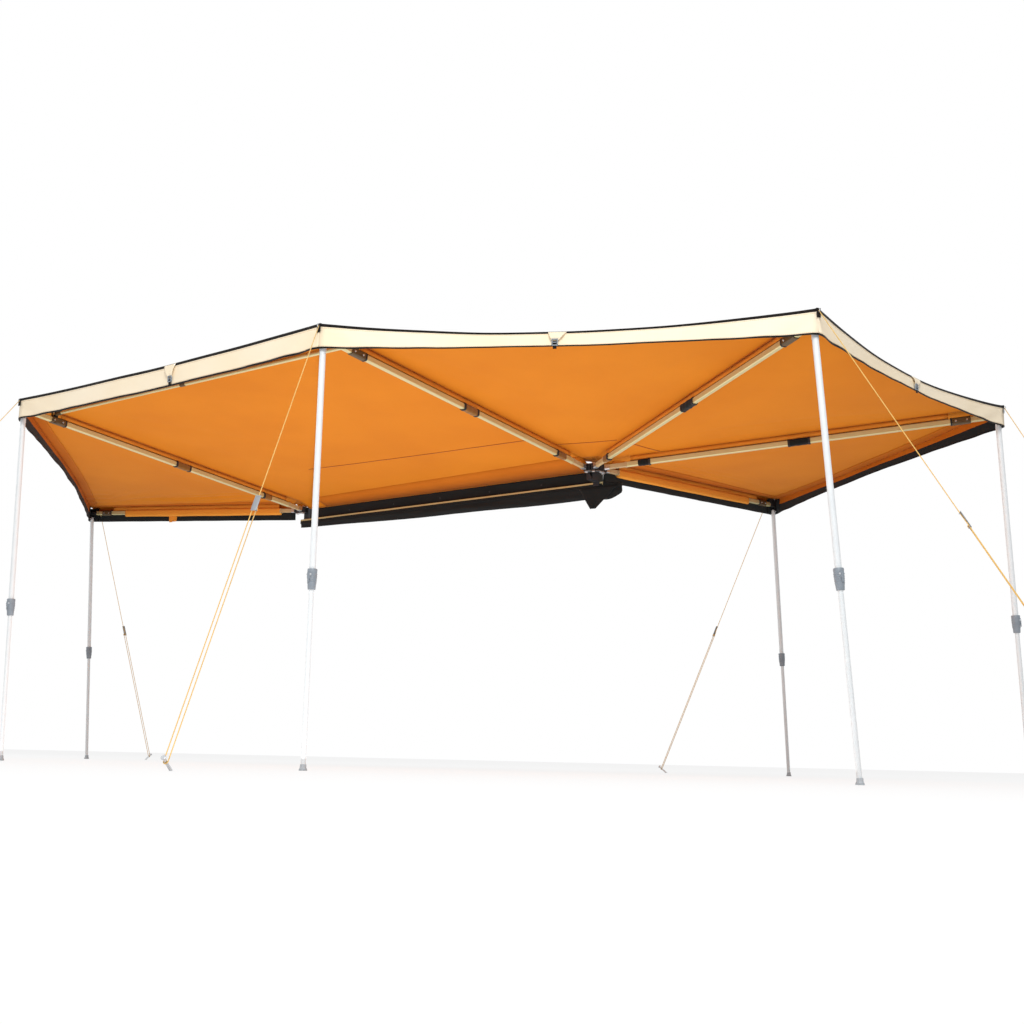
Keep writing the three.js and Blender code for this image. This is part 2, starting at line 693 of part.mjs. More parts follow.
function spreader() {
  const [from, to] = spreaderEnds();
  const along = to.clone().sub(from);
  const rod = new THREE.CylinderGeometry(SPREADER_RADIUS, SPREADER_RADIUS, along.length(), SPREADER_SIDES);
  rod.rotateZ(-Math.PI / 2).translate(along.length() / 2, 0, 0);
  const eye = bar(LUG_RADIUS, -SPREADER_RADIUS, SPREADER_RADIUS);
  const cap = bar(LUG_RADIUS, -SPREADER_RADIUS, SPREADER_RADIUS, along.length());
  const hole = bar(CROSS_PIN_RADIUS + PIN_CLEARANCE, -LUG_RADIUS, LUG_RADIUS);
  const slope = arms[3].slope;
  const body = join([rod, eye, cap]).subtract(solid(hole));
  const geometry = geometryOf(body);
  // The rod's own X follows the line between its ends, and its Z stands square to the canopy.
  const x = along.normalize();
  const z = new THREE.Vector3(0, -Math.sin(slope), Math.cos(slope));
  const y = z.clone().cross(x).normalize();
  const turn = new THREE.Matrix4().makeBasis(x, y, x.clone().cross(y)).setPosition(from);
  return geometry.applyMatrix4(turn);
}

// Guy ropes: from the canopy corner to a runner, then two strands round the peg.
const ropeInsets = { 1: FIRST_ROPE_INSET, 6: LAST_ROPE_INSET };

function ropeExit(number) {
  const arm = arms[number];
  const outward = new THREE.Vector3(Math.cos(arm.heading), Math.sin(arm.heading), 0);
  const corner = new THREE.Vector3(arm.corner.x, arm.corner.y, CORNER_HEIGHT - ROPE_EXIT_DOWN);
  const inset = ropeInsets[number];
  if (!inset) return corner.addScaledVector(outward, ROPE_EXIT_OUT + ROPE_DIAMETER / 2);
  // The first and last arms hold their rope at the tube's free side.
  const freeSide = new THREE.Vector3(-outward.y, outward.x, 0).multiplyScalar(arm.number === 1 ? -1 : 1);
  const tube = corner.setZ(HUB_HEIGHT + (arm.length - inset) * Math.tan(arm.slope));
  tube.addScaledVector(outward, -inset);
  return tube.addScaledVector(freeSide, ARM_WIDTH / 2 + ROPE_EXIT_OUT + ROPE_DIAMETER / 2);
}

function ropeEnds(number) {
  const compass = radians(ROPE_HEADING[number]);
  const heading = new THREE.Vector3(Math.cos(compass), Math.sin(compass), 0);
  const exit = ropeExit(number);
  const base = exit.clone().addScaledVector(heading, CORNER_HEIGHT * ROPE_REACH_SHARES[number]).setZ(0);
  const lean = radians(PEG_LEAN);
  const shaft = heading.clone().multiplyScalar(Math.sin(lean)).setZ(Math.cos(lean));
  return { exit, base, shaft, heading };
}

function ropeRoute(number) {
  const { exit, base, shaft, heading } = ropeEnds(number);
  const loop = base.clone().addScaledVector(shaft, PEG_LOOP_UP);
  const down = loop.clone().sub(exit).normalize();
  const aside = new THREE.Vector3(-heading.y, heading.x, 0);
  const runner = exit.clone().lerp(loop, RUNNER_SHARE);
  const points = [exit.clone()];
  const at = (along, offset) => runner.clone().addScaledVector(down, along).addScaledVector(aside, offset);
  points.push(exit.clone().lerp(runner, 1 / 3));
  points.push(exit.clone().lerp(runner, 2 / 3));
  for (let step = 0; step <= RUNNER_STEPS; step++) {
    const share = step / RUNNER_STEPS;
    const ease = share * share * (3 - 2 * share);
    points.push(at(share * RUNNER_LONG, -STRAND_HALF * ease));
  }
  const length = loop.distanceTo(runner);
  points.push(at((RUNNER_LONG + length) / 2, -STRAND_HALF));
  for (let step = 0; step <= LOOP_STEPS; step++) {
    const angle = (step / LOOP_STEPS) * Math.PI;
    points.push(at(length + STRAND_HALF * Math.sin(angle), -STRAND_HALF * Math.cos(angle)));
  }
  points.push(at((RUNNER_LONG + length) / 2, STRAND_HALF));
  points.push(at(RUNNER_LONG, STRAND_HALF));
  return { points, normal: down.cross(aside) };
}

// A tube through the points of a route that lies in one plane, square to the normal.
function ropeTube({ points, normal }) {
  const rings = points.map((point, i) => {
    const before = points[Math.max(i - 1, 0)];
    const after = points[Math.min(i + 1, points.length - 1)];
    const forward = after.clone().sub(before).normalize();
    const sideways = normal.clone().cross(forward).normalize();
    const ring = [];
    for (let side = 0; side < ROPE_SIDES; side++) {
      const angle = (2 * Math.PI * side) / ROPE_SIDES;
      const out = sideways.clone().multiplyScalar(Math.cos(angle)).addScaledVector(normal, Math.sin(angle));
      ring.push(point.clone().addScaledVector(out, ROPE_DIAMETER / 2));
    }
    return ring;
  });
  return loft(rings);
}

function peg(number) {
  const { base, shaft } = ropeEnds(number);
  const toShaft = new THREE.Quaternion().setFromUnitVectors(new THREE.Vector3(0, 0, 1), shaft);
  const rod = bar(PEG_RADIUS, -OVERRUN, PEG_LONG, 0, 0, PEG_SIDES);
  const head = bar(PEG_HEAD_RADIUS, PEG_LONG - PEG_HEAD_TALL, PEG_LONG, 0, 0, PEG_SIDES);
  const standing = [rod, head].map((piece) => piece.applyQuaternion(toShaft).translate(...base.toArray()));
  const reach = PEG_LONG;
  const ground = block([base.x - reach, base.y - reach, -reach], [base.x + reach, base.y + reach, 0]);
  return geometryOf(join(standing).subtract(solid(ground)));
}

// Assembly.
const awning = new THREE.Group();
const level = new THREE.Group();
level.position.z = HUB_HEIGHT;
awning.add(level);
level.add(mesh("base_rail", baseRail(), materials.gold));
level.add(mesh("hub_rear", hub(arms[3].pin), materials.steel));
level.add(mesh("hub_front", hub(arms[2].pin), materials.steel));
BRACKET_SHARES.forEach((share, i) => {
  level.add(mesh(`roof_bracket_${i ? "front" : "rear"}`, roofBracket(share), materials.steel));
});
awning.add(mesh("storage_bag", bag(), materials.bag));

for (const arm of Object.values(arms)) {
  const group = new THREE.Group();
  group.position.set(arm.pin.x, arm.pin.y, 0);
  group.rotation.z = arm.heading;
  group.add(mesh(`knuckle_${arm.number}`, knuckle(arm), materials.steel));
  group.add(mesh(`arm_tube_${arm.number}`, armTube(arm), materials.gold));
  group.add(mesh(`arm_tip_${arm.number}`, armTip(arm), materials.bracket));
  const pole = poleFrame(arm);
  const hung = new THREE.Group();
  hung.applyMatrix4(pole.matrix);
  hung.add(mesh(`pole_upper_${arm.number}`, poleUpper(pole), materials.white));
  hung.add(mesh(`pole_lower_${arm.number}`, poleLowerWithFoot(arm, pole), materials.white));
  hung.add(mesh(`pole_lock_${arm.number}`, poleLock(pole), materials.lock));
  group.add(hung);
  level.add(group);
}

awning.add(mesh("spreader", spreader(), materials.gold));
awning.add(mesh("canopy_front_fan", fanPanel(arms[1], arms[2]), materials.canvas));
awning.add(mesh("canopy_main", mainPanel(), materials.canvas));
for (const number of [3, 4, 5])
  awning.add(mesh(`canopy_rear_fan_${number}`, fanPanel(arms[number], arms[number + 1]), materials.canvas));

// The origin comes from everything but the ropes and pegs.
awning.updateMatrixWorld(true);
const middle = new THREE.Box3().setFromObject(awning, true).getCenter(new THREE.Vector3());
for (const number of Object.keys(arms)) {
  awning.add(mesh(`guy_rope_${number}`, ropeTube(ropeRoute(number)), materials.rope));
  awning.add(mesh(`peg_${number}`, peg(number), materials.peg));
}
awning.position.set(-middle.x, -middle.y, 0);

export default awning;
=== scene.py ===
"""Looks of an opened-out side awning: six folding arms on two hubs, six poles, canopy, guy ropes and pegs."""

import json
import math
from itertools import accumulate

import bmesh
import bpy
from mathutils import Matrix, Vector, noise
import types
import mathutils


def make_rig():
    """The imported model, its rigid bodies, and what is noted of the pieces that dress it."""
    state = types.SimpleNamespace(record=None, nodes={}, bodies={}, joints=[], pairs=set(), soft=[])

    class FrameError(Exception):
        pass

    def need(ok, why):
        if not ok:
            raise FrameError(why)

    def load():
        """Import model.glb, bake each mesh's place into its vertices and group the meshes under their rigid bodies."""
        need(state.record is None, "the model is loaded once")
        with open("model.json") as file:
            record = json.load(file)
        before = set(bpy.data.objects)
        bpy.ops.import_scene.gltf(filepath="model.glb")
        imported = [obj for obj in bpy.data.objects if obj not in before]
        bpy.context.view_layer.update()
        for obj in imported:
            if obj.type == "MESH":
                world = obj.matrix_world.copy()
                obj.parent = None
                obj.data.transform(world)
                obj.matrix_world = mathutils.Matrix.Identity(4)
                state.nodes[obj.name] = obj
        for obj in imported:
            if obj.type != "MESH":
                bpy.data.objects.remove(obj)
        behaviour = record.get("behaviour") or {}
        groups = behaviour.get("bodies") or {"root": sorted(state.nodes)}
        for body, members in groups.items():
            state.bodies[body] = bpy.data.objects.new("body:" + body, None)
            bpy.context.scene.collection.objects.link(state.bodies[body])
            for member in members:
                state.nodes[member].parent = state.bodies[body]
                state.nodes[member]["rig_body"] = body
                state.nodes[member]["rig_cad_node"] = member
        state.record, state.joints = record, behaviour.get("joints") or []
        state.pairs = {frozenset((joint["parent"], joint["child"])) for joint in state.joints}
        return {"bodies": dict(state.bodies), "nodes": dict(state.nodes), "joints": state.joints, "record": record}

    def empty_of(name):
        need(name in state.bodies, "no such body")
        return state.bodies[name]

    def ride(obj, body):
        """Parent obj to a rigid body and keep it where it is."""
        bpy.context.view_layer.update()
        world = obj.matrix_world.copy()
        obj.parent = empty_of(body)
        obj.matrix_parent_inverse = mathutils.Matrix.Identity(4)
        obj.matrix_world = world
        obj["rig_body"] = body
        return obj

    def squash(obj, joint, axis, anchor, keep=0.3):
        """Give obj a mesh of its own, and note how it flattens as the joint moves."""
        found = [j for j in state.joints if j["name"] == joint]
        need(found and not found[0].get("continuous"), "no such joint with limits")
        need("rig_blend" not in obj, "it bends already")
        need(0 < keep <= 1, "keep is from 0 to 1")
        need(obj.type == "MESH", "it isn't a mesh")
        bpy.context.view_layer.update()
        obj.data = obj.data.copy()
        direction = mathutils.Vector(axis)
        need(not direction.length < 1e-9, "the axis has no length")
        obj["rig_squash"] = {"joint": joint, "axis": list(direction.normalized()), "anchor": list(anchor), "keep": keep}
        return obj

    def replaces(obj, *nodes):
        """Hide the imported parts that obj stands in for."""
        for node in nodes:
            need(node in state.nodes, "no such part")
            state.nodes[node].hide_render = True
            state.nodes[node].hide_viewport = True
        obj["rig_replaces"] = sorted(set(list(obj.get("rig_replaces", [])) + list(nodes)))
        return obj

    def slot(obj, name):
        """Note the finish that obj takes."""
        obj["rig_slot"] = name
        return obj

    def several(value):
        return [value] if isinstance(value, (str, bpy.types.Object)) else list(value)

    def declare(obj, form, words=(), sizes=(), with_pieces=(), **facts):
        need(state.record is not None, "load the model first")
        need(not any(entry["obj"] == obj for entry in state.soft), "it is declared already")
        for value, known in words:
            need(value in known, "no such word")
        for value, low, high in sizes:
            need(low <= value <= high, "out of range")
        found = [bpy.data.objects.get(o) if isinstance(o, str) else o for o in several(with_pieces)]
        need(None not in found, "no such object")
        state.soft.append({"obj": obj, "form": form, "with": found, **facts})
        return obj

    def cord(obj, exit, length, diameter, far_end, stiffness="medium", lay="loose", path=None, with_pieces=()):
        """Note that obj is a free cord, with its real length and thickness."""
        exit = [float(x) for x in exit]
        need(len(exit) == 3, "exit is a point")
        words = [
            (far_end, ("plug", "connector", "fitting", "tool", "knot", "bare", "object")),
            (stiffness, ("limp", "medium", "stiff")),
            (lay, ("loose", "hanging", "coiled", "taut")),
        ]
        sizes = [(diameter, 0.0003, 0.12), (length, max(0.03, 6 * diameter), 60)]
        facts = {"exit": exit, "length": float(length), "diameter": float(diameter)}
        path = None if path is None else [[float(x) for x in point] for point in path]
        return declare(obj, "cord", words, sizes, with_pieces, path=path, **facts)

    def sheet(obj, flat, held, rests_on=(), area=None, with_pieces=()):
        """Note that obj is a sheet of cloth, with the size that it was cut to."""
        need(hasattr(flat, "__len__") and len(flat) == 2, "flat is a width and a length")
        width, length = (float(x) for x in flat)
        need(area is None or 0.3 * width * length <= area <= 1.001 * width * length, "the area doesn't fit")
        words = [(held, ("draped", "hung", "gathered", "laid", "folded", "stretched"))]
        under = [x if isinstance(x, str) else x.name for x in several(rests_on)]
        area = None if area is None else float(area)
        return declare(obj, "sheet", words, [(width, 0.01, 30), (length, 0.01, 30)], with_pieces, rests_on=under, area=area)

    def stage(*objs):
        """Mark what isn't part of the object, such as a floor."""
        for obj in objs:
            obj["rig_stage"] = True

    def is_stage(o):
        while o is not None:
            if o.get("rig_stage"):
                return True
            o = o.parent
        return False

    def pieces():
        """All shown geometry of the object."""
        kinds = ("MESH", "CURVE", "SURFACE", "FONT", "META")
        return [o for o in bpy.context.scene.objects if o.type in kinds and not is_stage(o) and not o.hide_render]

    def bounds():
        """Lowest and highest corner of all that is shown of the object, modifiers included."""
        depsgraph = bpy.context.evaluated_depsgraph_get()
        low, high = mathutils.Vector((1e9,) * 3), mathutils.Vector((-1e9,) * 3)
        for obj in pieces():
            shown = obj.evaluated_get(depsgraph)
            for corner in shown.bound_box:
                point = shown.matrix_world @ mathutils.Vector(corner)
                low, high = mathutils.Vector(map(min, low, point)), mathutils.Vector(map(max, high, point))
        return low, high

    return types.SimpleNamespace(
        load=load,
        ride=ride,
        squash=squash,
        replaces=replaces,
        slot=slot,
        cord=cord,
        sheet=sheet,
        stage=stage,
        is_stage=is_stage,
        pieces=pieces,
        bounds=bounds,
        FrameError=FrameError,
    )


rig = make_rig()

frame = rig.load()
cad_low, cad_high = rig.bounds()

# Sizes, as in the part's source, in metres and degrees.
HUB_HEIGHT = 1.752
HUB_SPACING = 2.343
CORNER_HEIGHT = 1.965
LANE = 0.048
REAR_PIN_BACK, REAR_PIN_OUT = 0.010, 0.035
ARM_REACH = 2.280
CORNER_HEADINGS = {1: 2.1, 2: 91.6, 3: 89.7, 4: 146.2, 5: 196.1, 6: 265.4}
REACH_SHARES = {1: 0.9781, 2: 0.9956, 3: 1, 4: 1.011, 5: 0.9934, 6: 0.9991}
FOOT_LEAN_SHARES = {
    1: (-0.017, -0.06),
    2: (-0.0285, 0),
    3: (0, 0),
    4: (0.063, 0.0457),
    5: (0.04, 0.0457),
    6: (0.097, 0),
}
RAIL_DEPTH, RAIL_TALL, RAIL_DROP, RAIL_CLEAR, RAIL_END = 0.040, 0.023, 0.062, 0.020, 0.020
BOSS_RADIUS, BOSS_HALF, EAR_GAP, EAR_THICK = 0.016, 0.013, 0.0004, 0.0076
ARM_WIDTH, ARM_TALL = 0.025, 0.030
POLE_INSET, POLE_DROP = 0.030, 0.045
UPPER_RADIUS, UPPER_TOP, LOWER_RADIUS = 0.014, 0.014, 0.011
LOCK_HEIGHT, LOCK_TALL, LOCK_STEP = 0.770, 0.090, 0.032
LOCK_TOP_RADIUS, LOCK_FOOT_RADIUS = 0.022, 0.017
FOOT_RADIUS, FOOT_TALL = 0.018, 0.014
SPREADER_SETBACK, SPREADER_LIFT, SPREADER_RADIUS, LUG_RADIUS = 0.230, 0.035, 0.008, 0.012
SHEET = 0.002
CANOPY_LIFT = 0.048
VALANCE_DROP = 0.115
FAN_INNER, FAN_BOW, FAN_SAG = 0.040, 0.060, 0.050
MAIN_BOW, MAIN_SAG = 0.030, 0.004
HEM_HEIGHT, HEM_INSET = 0.010, 0.035
BAG_WIDTH, BAG_TALL_REAR, BAG_TALL_FRONT, BAG_SAG = 0.030, 0.078, 0.034, 0.009
ROPE_HEADING = {1: 276, 2: 68, 3: 110, 4: 200, 5: 200, 6: 0}
ROPE_REACH_SHARES = {1: 0.341, 2: 0.662, 3: 0.529, 4: 0.555, 5: 0.509, 6: 0.407}
ROPE_INSETS = {1: 0.107, 6: 0.115}
ROPE_DIAMETER, ROPE_EXIT_OUT, ROPE_EXIT_DOWN = 0.004, 0.0004, 0.008
RUNNER_SHARE, RUNNER_LONG, STRAND_HALF = 0.46, 0.070, 0.0085
RUNNER_STEPS, LOOP_STEPS = 5, 6
PEG_RADIUS, PEG_LEAN, PEG_LONG, PEG_LOOP_UP = 0.0056, 52, 0.078, 0.052
PEG_HEAD_RADIUS, PEG_HEAD_TALL = 0.010, 0.007

JOINTS = {joint["name"]: joint for joint in frame["joints"]}
REAR_PIN = Vector(JOINTS["rear_fold"]["pos_m"])
FRONT_PIN = Vector(JOINTS["front_fold"]["pos_m"])
REAR_HUB = Vector((REAR_PIN.x + REAR_PIN_BACK, REAR_PIN.y - REAR_PIN_OUT, HUB_HEIGHT))
FRONT_HUB = REAR_HUB + Vector((HUB_SPACING, 0, 0))
RAIL_OUTBOARD = FRONT_PIN.y - RAIL_CLEAR
RAIL_LINE = RAIL_OUTBOARD - RAIL_DEPTH / 2
RAIL_TOP = HUB_HEIGHT - RAIL_DROP
RAIL_BOTTOM = RAIL_TOP - RAIL_TALL
RAIL_REAR = REAR_PIN.x - RAIL_CLEAR - RAIL_END
RAIL_FRONT = FRONT_PIN.x + RAIL_CLEAR + RAIL_END
RAIL_LONG = RAIL_FRONT - RAIL_REAR
BAG_TOP = RAIL_BOTTOM - 0.0003
BAG_MIDDLE = RAIL_OUTBOARD - BAG_WIDTH / 2
ARM_RISE = CORNER_HEIGHT - SHEET - CANOPY_LIFT - HUB_HEIGHT
PIN_HEAD_LEVEL = BOSS_HALF + EAR_GAP + EAR_THICK
UP = Vector((0, 0, 1))

# The camera's yaw, pitch and roll, its place from the ground under the rear hub, its lens and its shift.
CAMERA_TURN = (-53.565551, 10.298332, 1.3517254)
CAMERA_PLACE = (-3.816704, 6.207606, 0.061916)
CAMERA_LENS, CAMERA_SHIFT = 44.663, (0.02969, 0.01671)


def basis(*ways):
    """The turn that takes X, Y and Z to three directions."""
    return Matrix(ways).transposed().to_4x4()


def compass(angle):
    return Vector((math.cos(angle), math.sin(angle), 0))


def circle(steps):
    """The angle, cosine and sine of each step of a full turn."""
    angles = [2 * math.pi * k / steps for k in range(steps)]
    return [(angle, math.cos(angle), math.sin(angle)) for angle in angles]


class Arm:
    """One folding arm: its pin, its corner of the canopy, and the frame that runs along it."""

    def __init__(self, number, pin):
        self.number, self.pin, self.body = number, pin.copy(), f"arm_{number}"
        self.fold = "front_fold" if number < 3 else "rear_fold"
        hub = FRONT_HUB if number < 3 else REAR_HUB
        self.corner = hub + compass(math.radians(CORNER_HEADINGS[number])) * (ARM_REACH * REACH_SHARES[number])
        along = (self.corner - pin).to_2d()
        self.length = along.length
        self.heading = math.atan2(along.y, along.x)
        self.slope = math.atan2(ARM_RISE, self.length)
        self.out = compass(self.heading)
        self.left = Vector((-self.out.y, self.out.x, 0))
        self.flat = self.level_frame((pin.x, pin.y, HUB_HEIGHT))
        self.sloped = self.flat @ Matrix.Rotation(-self.slope, 4, "Y")

    def level_frame(self, place):
        """A level frame at a place, with X along the arm."""
        return Matrix.Translation(place) @ Matrix.Rotation(self.heading, 4, "Z")

    def spot(self, run, aside=0.0, rise=0.0):
        """A point at a level run along the arm, aside to its left, and above its middle line."""
        place = self.pin + self.out * run + self.left * aside
        place.z = HUB_HEIGHT + run * math.tan(self.slope) + rise
        return place


arms = {2: Arm(2, FRONT_PIN), 3: Arm(3, REAR_PIN)}
arms[1] = Arm(1, arms[2].pin - arms[2].left * LANE)
for lane in (4, 5, 6):
    arms[lane] = Arm(lane, arms[lane - 1].pin + arms[lane - 1].left * LANE)
# The side of an arm that faces away from the canopy, on the first and last arms.
FREE_SIDE = {1: -1, 6: 1}


def pole_frame(arm):
    """The pole's frame: hung on its cross pin, -Z down the pole to its foot."""
    lean_out, lean_left = (share * HUB_HEIGHT for share in FOOT_LEAN_SHARES[arm.number])
    x = arm.length - POLE_INSET
    pivot = Vector((x, 0, x * math.tan(arm.slope) - POLE_DROP))
    down = Vector((x + lean_out, lean_left, -HUB_HEIGHT)) - pivot
    length = down.length
    down.normalize()
    axis = down.cross(Vector((-math.cos(arm.slope), 0, -math.sin(arm.slope)))).normalized()
    return arm.flat @ Matrix.Translation(pivot) @ basis(axis.cross(-down), axis, -down), length


def rope_ends(number):
    """A guy rope's exit, the foot of its peg on the ground, the peg's direction and the rope's heading."""
    arm = arms[number]
    heading = compass(math.radians(ROPE_HEADING[number]))
    if number in ROPE_INSETS:
        aside = FREE_SIDE[number] * (ARM_WIDTH / 2 + ROPE_EXIT_OUT + ROPE_DIAMETER / 2)
        start = arm.spot(arm.length - ROPE_INSETS[number], aside)
    else:
        start = arm.corner + arm.out * (ROPE_EXIT_OUT + ROPE_DIAMETER / 2)
        start.z = CORNER_HEIGHT - ROPE_EXIT_DOWN
    base = start + heading * (CORNER_HEIGHT * ROPE_REACH_SHARES[number])
    base.z = 0
    lean = math.radians(PEG_LEAN)
    return start, base, heading * math.sin(lean) + UP * math.cos(lean), heading


def rope_route(number):
    """From the canopy corner to the runner, then down one strand, round the peg and back up the other."""
    start, base, shaft, heading = rope_ends(number)
    loop = base + shaft * PEG_LOOP_UP
    down = (loop - start).normalized()
    aside = Vector((-heading.y, heading.x, 0))
    runner = start.lerp(loop, RUNNER_SHARE)

    def at(along, offset):
        return runner + down * along + aside * offset

    points = [start.copy(), start.lerp(runner, 1 / 3), start.lerp(runner, 2 / 3)]
    for step in range(RUNNER_STEPS + 1):
        share = step / RUNNER_STEPS
        points.append(at(share * RUNNER_LONG, -STRAND_HALF * share * share * (3 - 2 * share)))
    long = (loop - runner).length
    points.append(at((RUNNER_LONG + long) / 2, -STRAND_HALF))
    for step in range(LOOP_STEPS + 1):
        angle = step / LOOP_STEPS * math.pi
        points.append(at(long + STRAND_HALF * math.sin(angle), -STRAND_HALF * math.cos(angle)))
    points += [at((RUNNER_LONG + long) / 2, STRAND_HALF), at(RUNNER_LONG, STRAND_HALF)]
    return points, runner, down, aside


def add_object(name, data):
    made = bpy.data.objects.new(name, data)
    bpy.context.scene.collection.objects.link(made)
    return made


def photo_camera():
    """Stands out from the rear corner, low over the ground, and looks up along the rail."""
    yaw, pitch, roll = (math.radians(angle) for angle in CAMERA_TURN)
    forward = compass(yaw) * math.cos(pitch) + UP * math.sin(pitch)
    level = Vector((math.sin(yaw), -math.cos(yaw), 0))
    above = level.cross(forward)
    right = level * math.cos(roll) + above * math.sin(roll)
    top = above * math.cos(roll) - level * math.sin(roll)
    data = bpy.data.cameras.new("photo_camera")
    data.sensor_width, data.lens, data.clip_end = 36, CAMERA_LENS, 200
    data.shift_x, data.shift_y = CAMERA_SHIFT
    camera = add_object("photo_camera", data)
    place = REAR_HUB - UP * HUB_HEIGHT + Vector(CAMERA_PLACE)
    camera.matrix_world = Matrix.Translation(place) @ basis(right, top, -forward)
    bpy.context.scene.camera = camera


photo_camera()


# Materials.
def srgb(hex_colour):
    """An sRGB hex value as linear red, green, blue, alpha."""
    parts = [int(hex_colour[i : i + 2], 16) / 255 for i in (1, 3, 5)]
    return [c / 12.92 if c <= 0.04045 else ((c + 0.055) / 1.055) ** 2.4 for c in parts] + [1]


def node(tree, kind, settings=None, links=None):
    """Adds a node. Settings are properties or input values, links are input name to output socket."""
    made = tree.nodes.new(kind)
    for key, value in (settings or {}).items():
        if isinstance(key, str) and hasattr(made, key):
            setattr(made, key, value)
        else:
            made.inputs[key].default_value = value
    for key, source in (links or {}).items():
        tree.links.new(source, made.inputs[key])
    return made


def maths(tree, operation, *sources, by=None):
    """The result of a math node over output sockets. A number goes in as by, the node's second value."""
    settings, places = {"operation": operation}, (0, 1)
    if by is not None:
        settings[1], places = by, (0, 2)
    return node(tree, "ShaderNodeMath", settings, dict(zip(places, sources))).outputs[0]


def surface(name, roughness, metallic=0.0, **shader_values):
    """A material with its shader set up. Returns the material, its tree and the shader."""
    material = bpy.data.materials.new(name)
    material.use_nodes = True
    tree = material.node_tree
    shader = tree.nodes["Principled BSDF"]
    shader.inputs["Roughness"].default_value = roughness
    shader.inputs["Metallic"].default_value = metallic
    for key, value in shader_values.items():
        shader.inputs[key.replace("_", " ")].default_value = value
    return material, tree, shader


def two_tone(tree, shader, base, other, factor):
    """Mixes two colours by a factor socket into the shader's colour."""
    settings = {"data_type": "RGBA", 6: srgb(base), 7: srgb(other)}
    mix = node(tree, "ShaderNodeMix", settings, {0: factor})
    tree.links.new(mix.outputs[2], shader.inputs["Base Color"])


def bump(tree, shader, height, strength, distance, under=None):
    """Adds a bump, over another one when given, and returns it."""
    links = {"Height": height}
    if under:
        links["Normal"] = under.outputs[0]
    made = node(tree, "ShaderNodeBump", {"Strength": strength, "Distance": distance}, links)
    tree.links.new(made.outputs[0], shader.inputs["Normal"])
    return made


def object_noise(tree, scale, detail):
    """Noise over the piece's own space."""
    where = node(tree, "ShaderNodeTexCoord").outputs["Object"]
    return node(tree, "ShaderNodeTexNoise", {"Scale": scale, "Detail": detail}, {"Vector": where}).outputs["Fac"]


def crossed_waves(tree, turns, settings):
    """Wave textures on the piece's own UV map, one for each turn."""
    uv = node(tree, "ShaderNodeUVMap", {"uv_map": "UVMap"}).outputs[0]
    waves = []
    for turn in turns:
        laid = node(tree, "ShaderNodeMapping", {"Rotation": (0, 0, turn)}, {"Vector": uv}).outputs[0]
        waves.append(node(tree, "ShaderNodeTexWave", settings, {"Vector": laid}).outputs["Fac"])
    return waves


def cloth(name, base, shade, thread, roughness, sheen, blotch=0.5):
    """Woven cloth: crossing threads on the piece's own UV map in metres, with a slow drift of tone."""
    values = {"Sheen_Weight": sheen, "Sheen_Roughness": 0.5, "Specular_IOR_Level": 0.12}
    made, tree, shader = surface(name, roughness, **values)
    settings = {"Scale": 1 / (thread * math.pi), "Distortion": 0.3, "Detail": 1}
    weave = maths(tree, "MAXIMUM", *crossed_waves(tree, (0, math.pi / 2), settings))
    tone = node(tree, "ShaderNodeMapRange", {1: 0.35, 2: 0.7}, {0: object_noise(tree, 2.2, 5)}).outputs[0]
    soft = maths(tree, "MULTIPLY", weave, by=0.35)
    two_tone(tree, shader, base, shade, maths(tree, "MULTIPLY_ADD", tone, soft, by=blotch))
    threads = bump(tree, shader, weave, 0.25, 0.0004)
    bump(tree, shader, object_noise(tree, 6, 3), 0.25, 0.004, threads)
    return made


def metal(name, base, shade, roughness, metallic, wear=0.25):
    """Metal with a fine grain and handling marks."""
    made, tree, shader = surface(name, roughness, metallic)
    two_tone(tree, shader, base, shade, maths(tree, "MULTIPLY", object_noise(tree, 18, 6), by=wear))
    fine = object_noise(tree, 380, 2)
    spread = node(tree, "ShaderNodeMapRange", {3: roughness - 0.08, 4: roughness + 0.1}, {0: fine})
    tree.links.new(spread.outputs[0], shader.inputs["Roughness"])
    bump(tree, shader, fine, 0.12, 0.0003)
    return made


def moulded(name, base, shade, roughness):
    """Moulded plastic or rubber with spark-eroded grain."""
    made, tree, shader = surface(name, roughness)
    two_tone(tree, shader, base, shade, maths(tree, "MULTIPLY", object_noise(tree, 30, 4), by=0.5))
    bump(tree, shader, object_noise(tree, 900, 2), 0.2, 0.0003)
    return made


def braided_rope(name, base, shade):
    """Braided polyester line: two sets of slanting strands on the tube's own UV map."""
    made, tree, shader = surface(name, 0.7, Sheen_Weight=0.2)
    braid = maths(tree, "MULTIPLY", *crossed_waves(tree, (0.7, -0.7), {"Scale": 90.0, "Distortion": 0.2}))
    two_tone(tree, shader, base, shade, maths(tree, "MULTIPLY", braid, by=0.6))
    bump(tree, shader, braid, 0.5, 0.0005)
    return made


# Coated oxford cloth, orange: a matt proofed weave that glows where the sky is behind it.
ORANGE = cloth("oxford_cloth_orange_proofed", "#DA8419", "#CE7713", 0.006, 0.75, 0.02)
# The same cloth doubled along its edges, in a darker orange that is painted shade: it stands for the light that the
# doubled cloth holds back and the shade under the valance.
ORANGE_SHADED_HEM = cloth("oxford_cloth_orange_doubled", "#C87018", "#B8620F", 0.005, 0.8, 0.02)
# Ripstop polycotton, ivory: dry and chalky outside.
IVORY = cloth("ripstop_polycotton_ivory", "#FCF0DA", "#F6E2BF", 0.006, 0.9, 0.04)
# Black oxford cloth: its weave shows only where light grazes it.
BLACK_CLOTH = cloth("oxford_cloth_black", "#1A1E20", "#25292A", 0.004, 0.85, 0.08)
# Seam binding: a rust line across the orange.
SEAM_THREAD = cloth("bound_seam_rust", "#A8541A", "#8F4414", 0.003, 0.85, 0.1, 0.3)
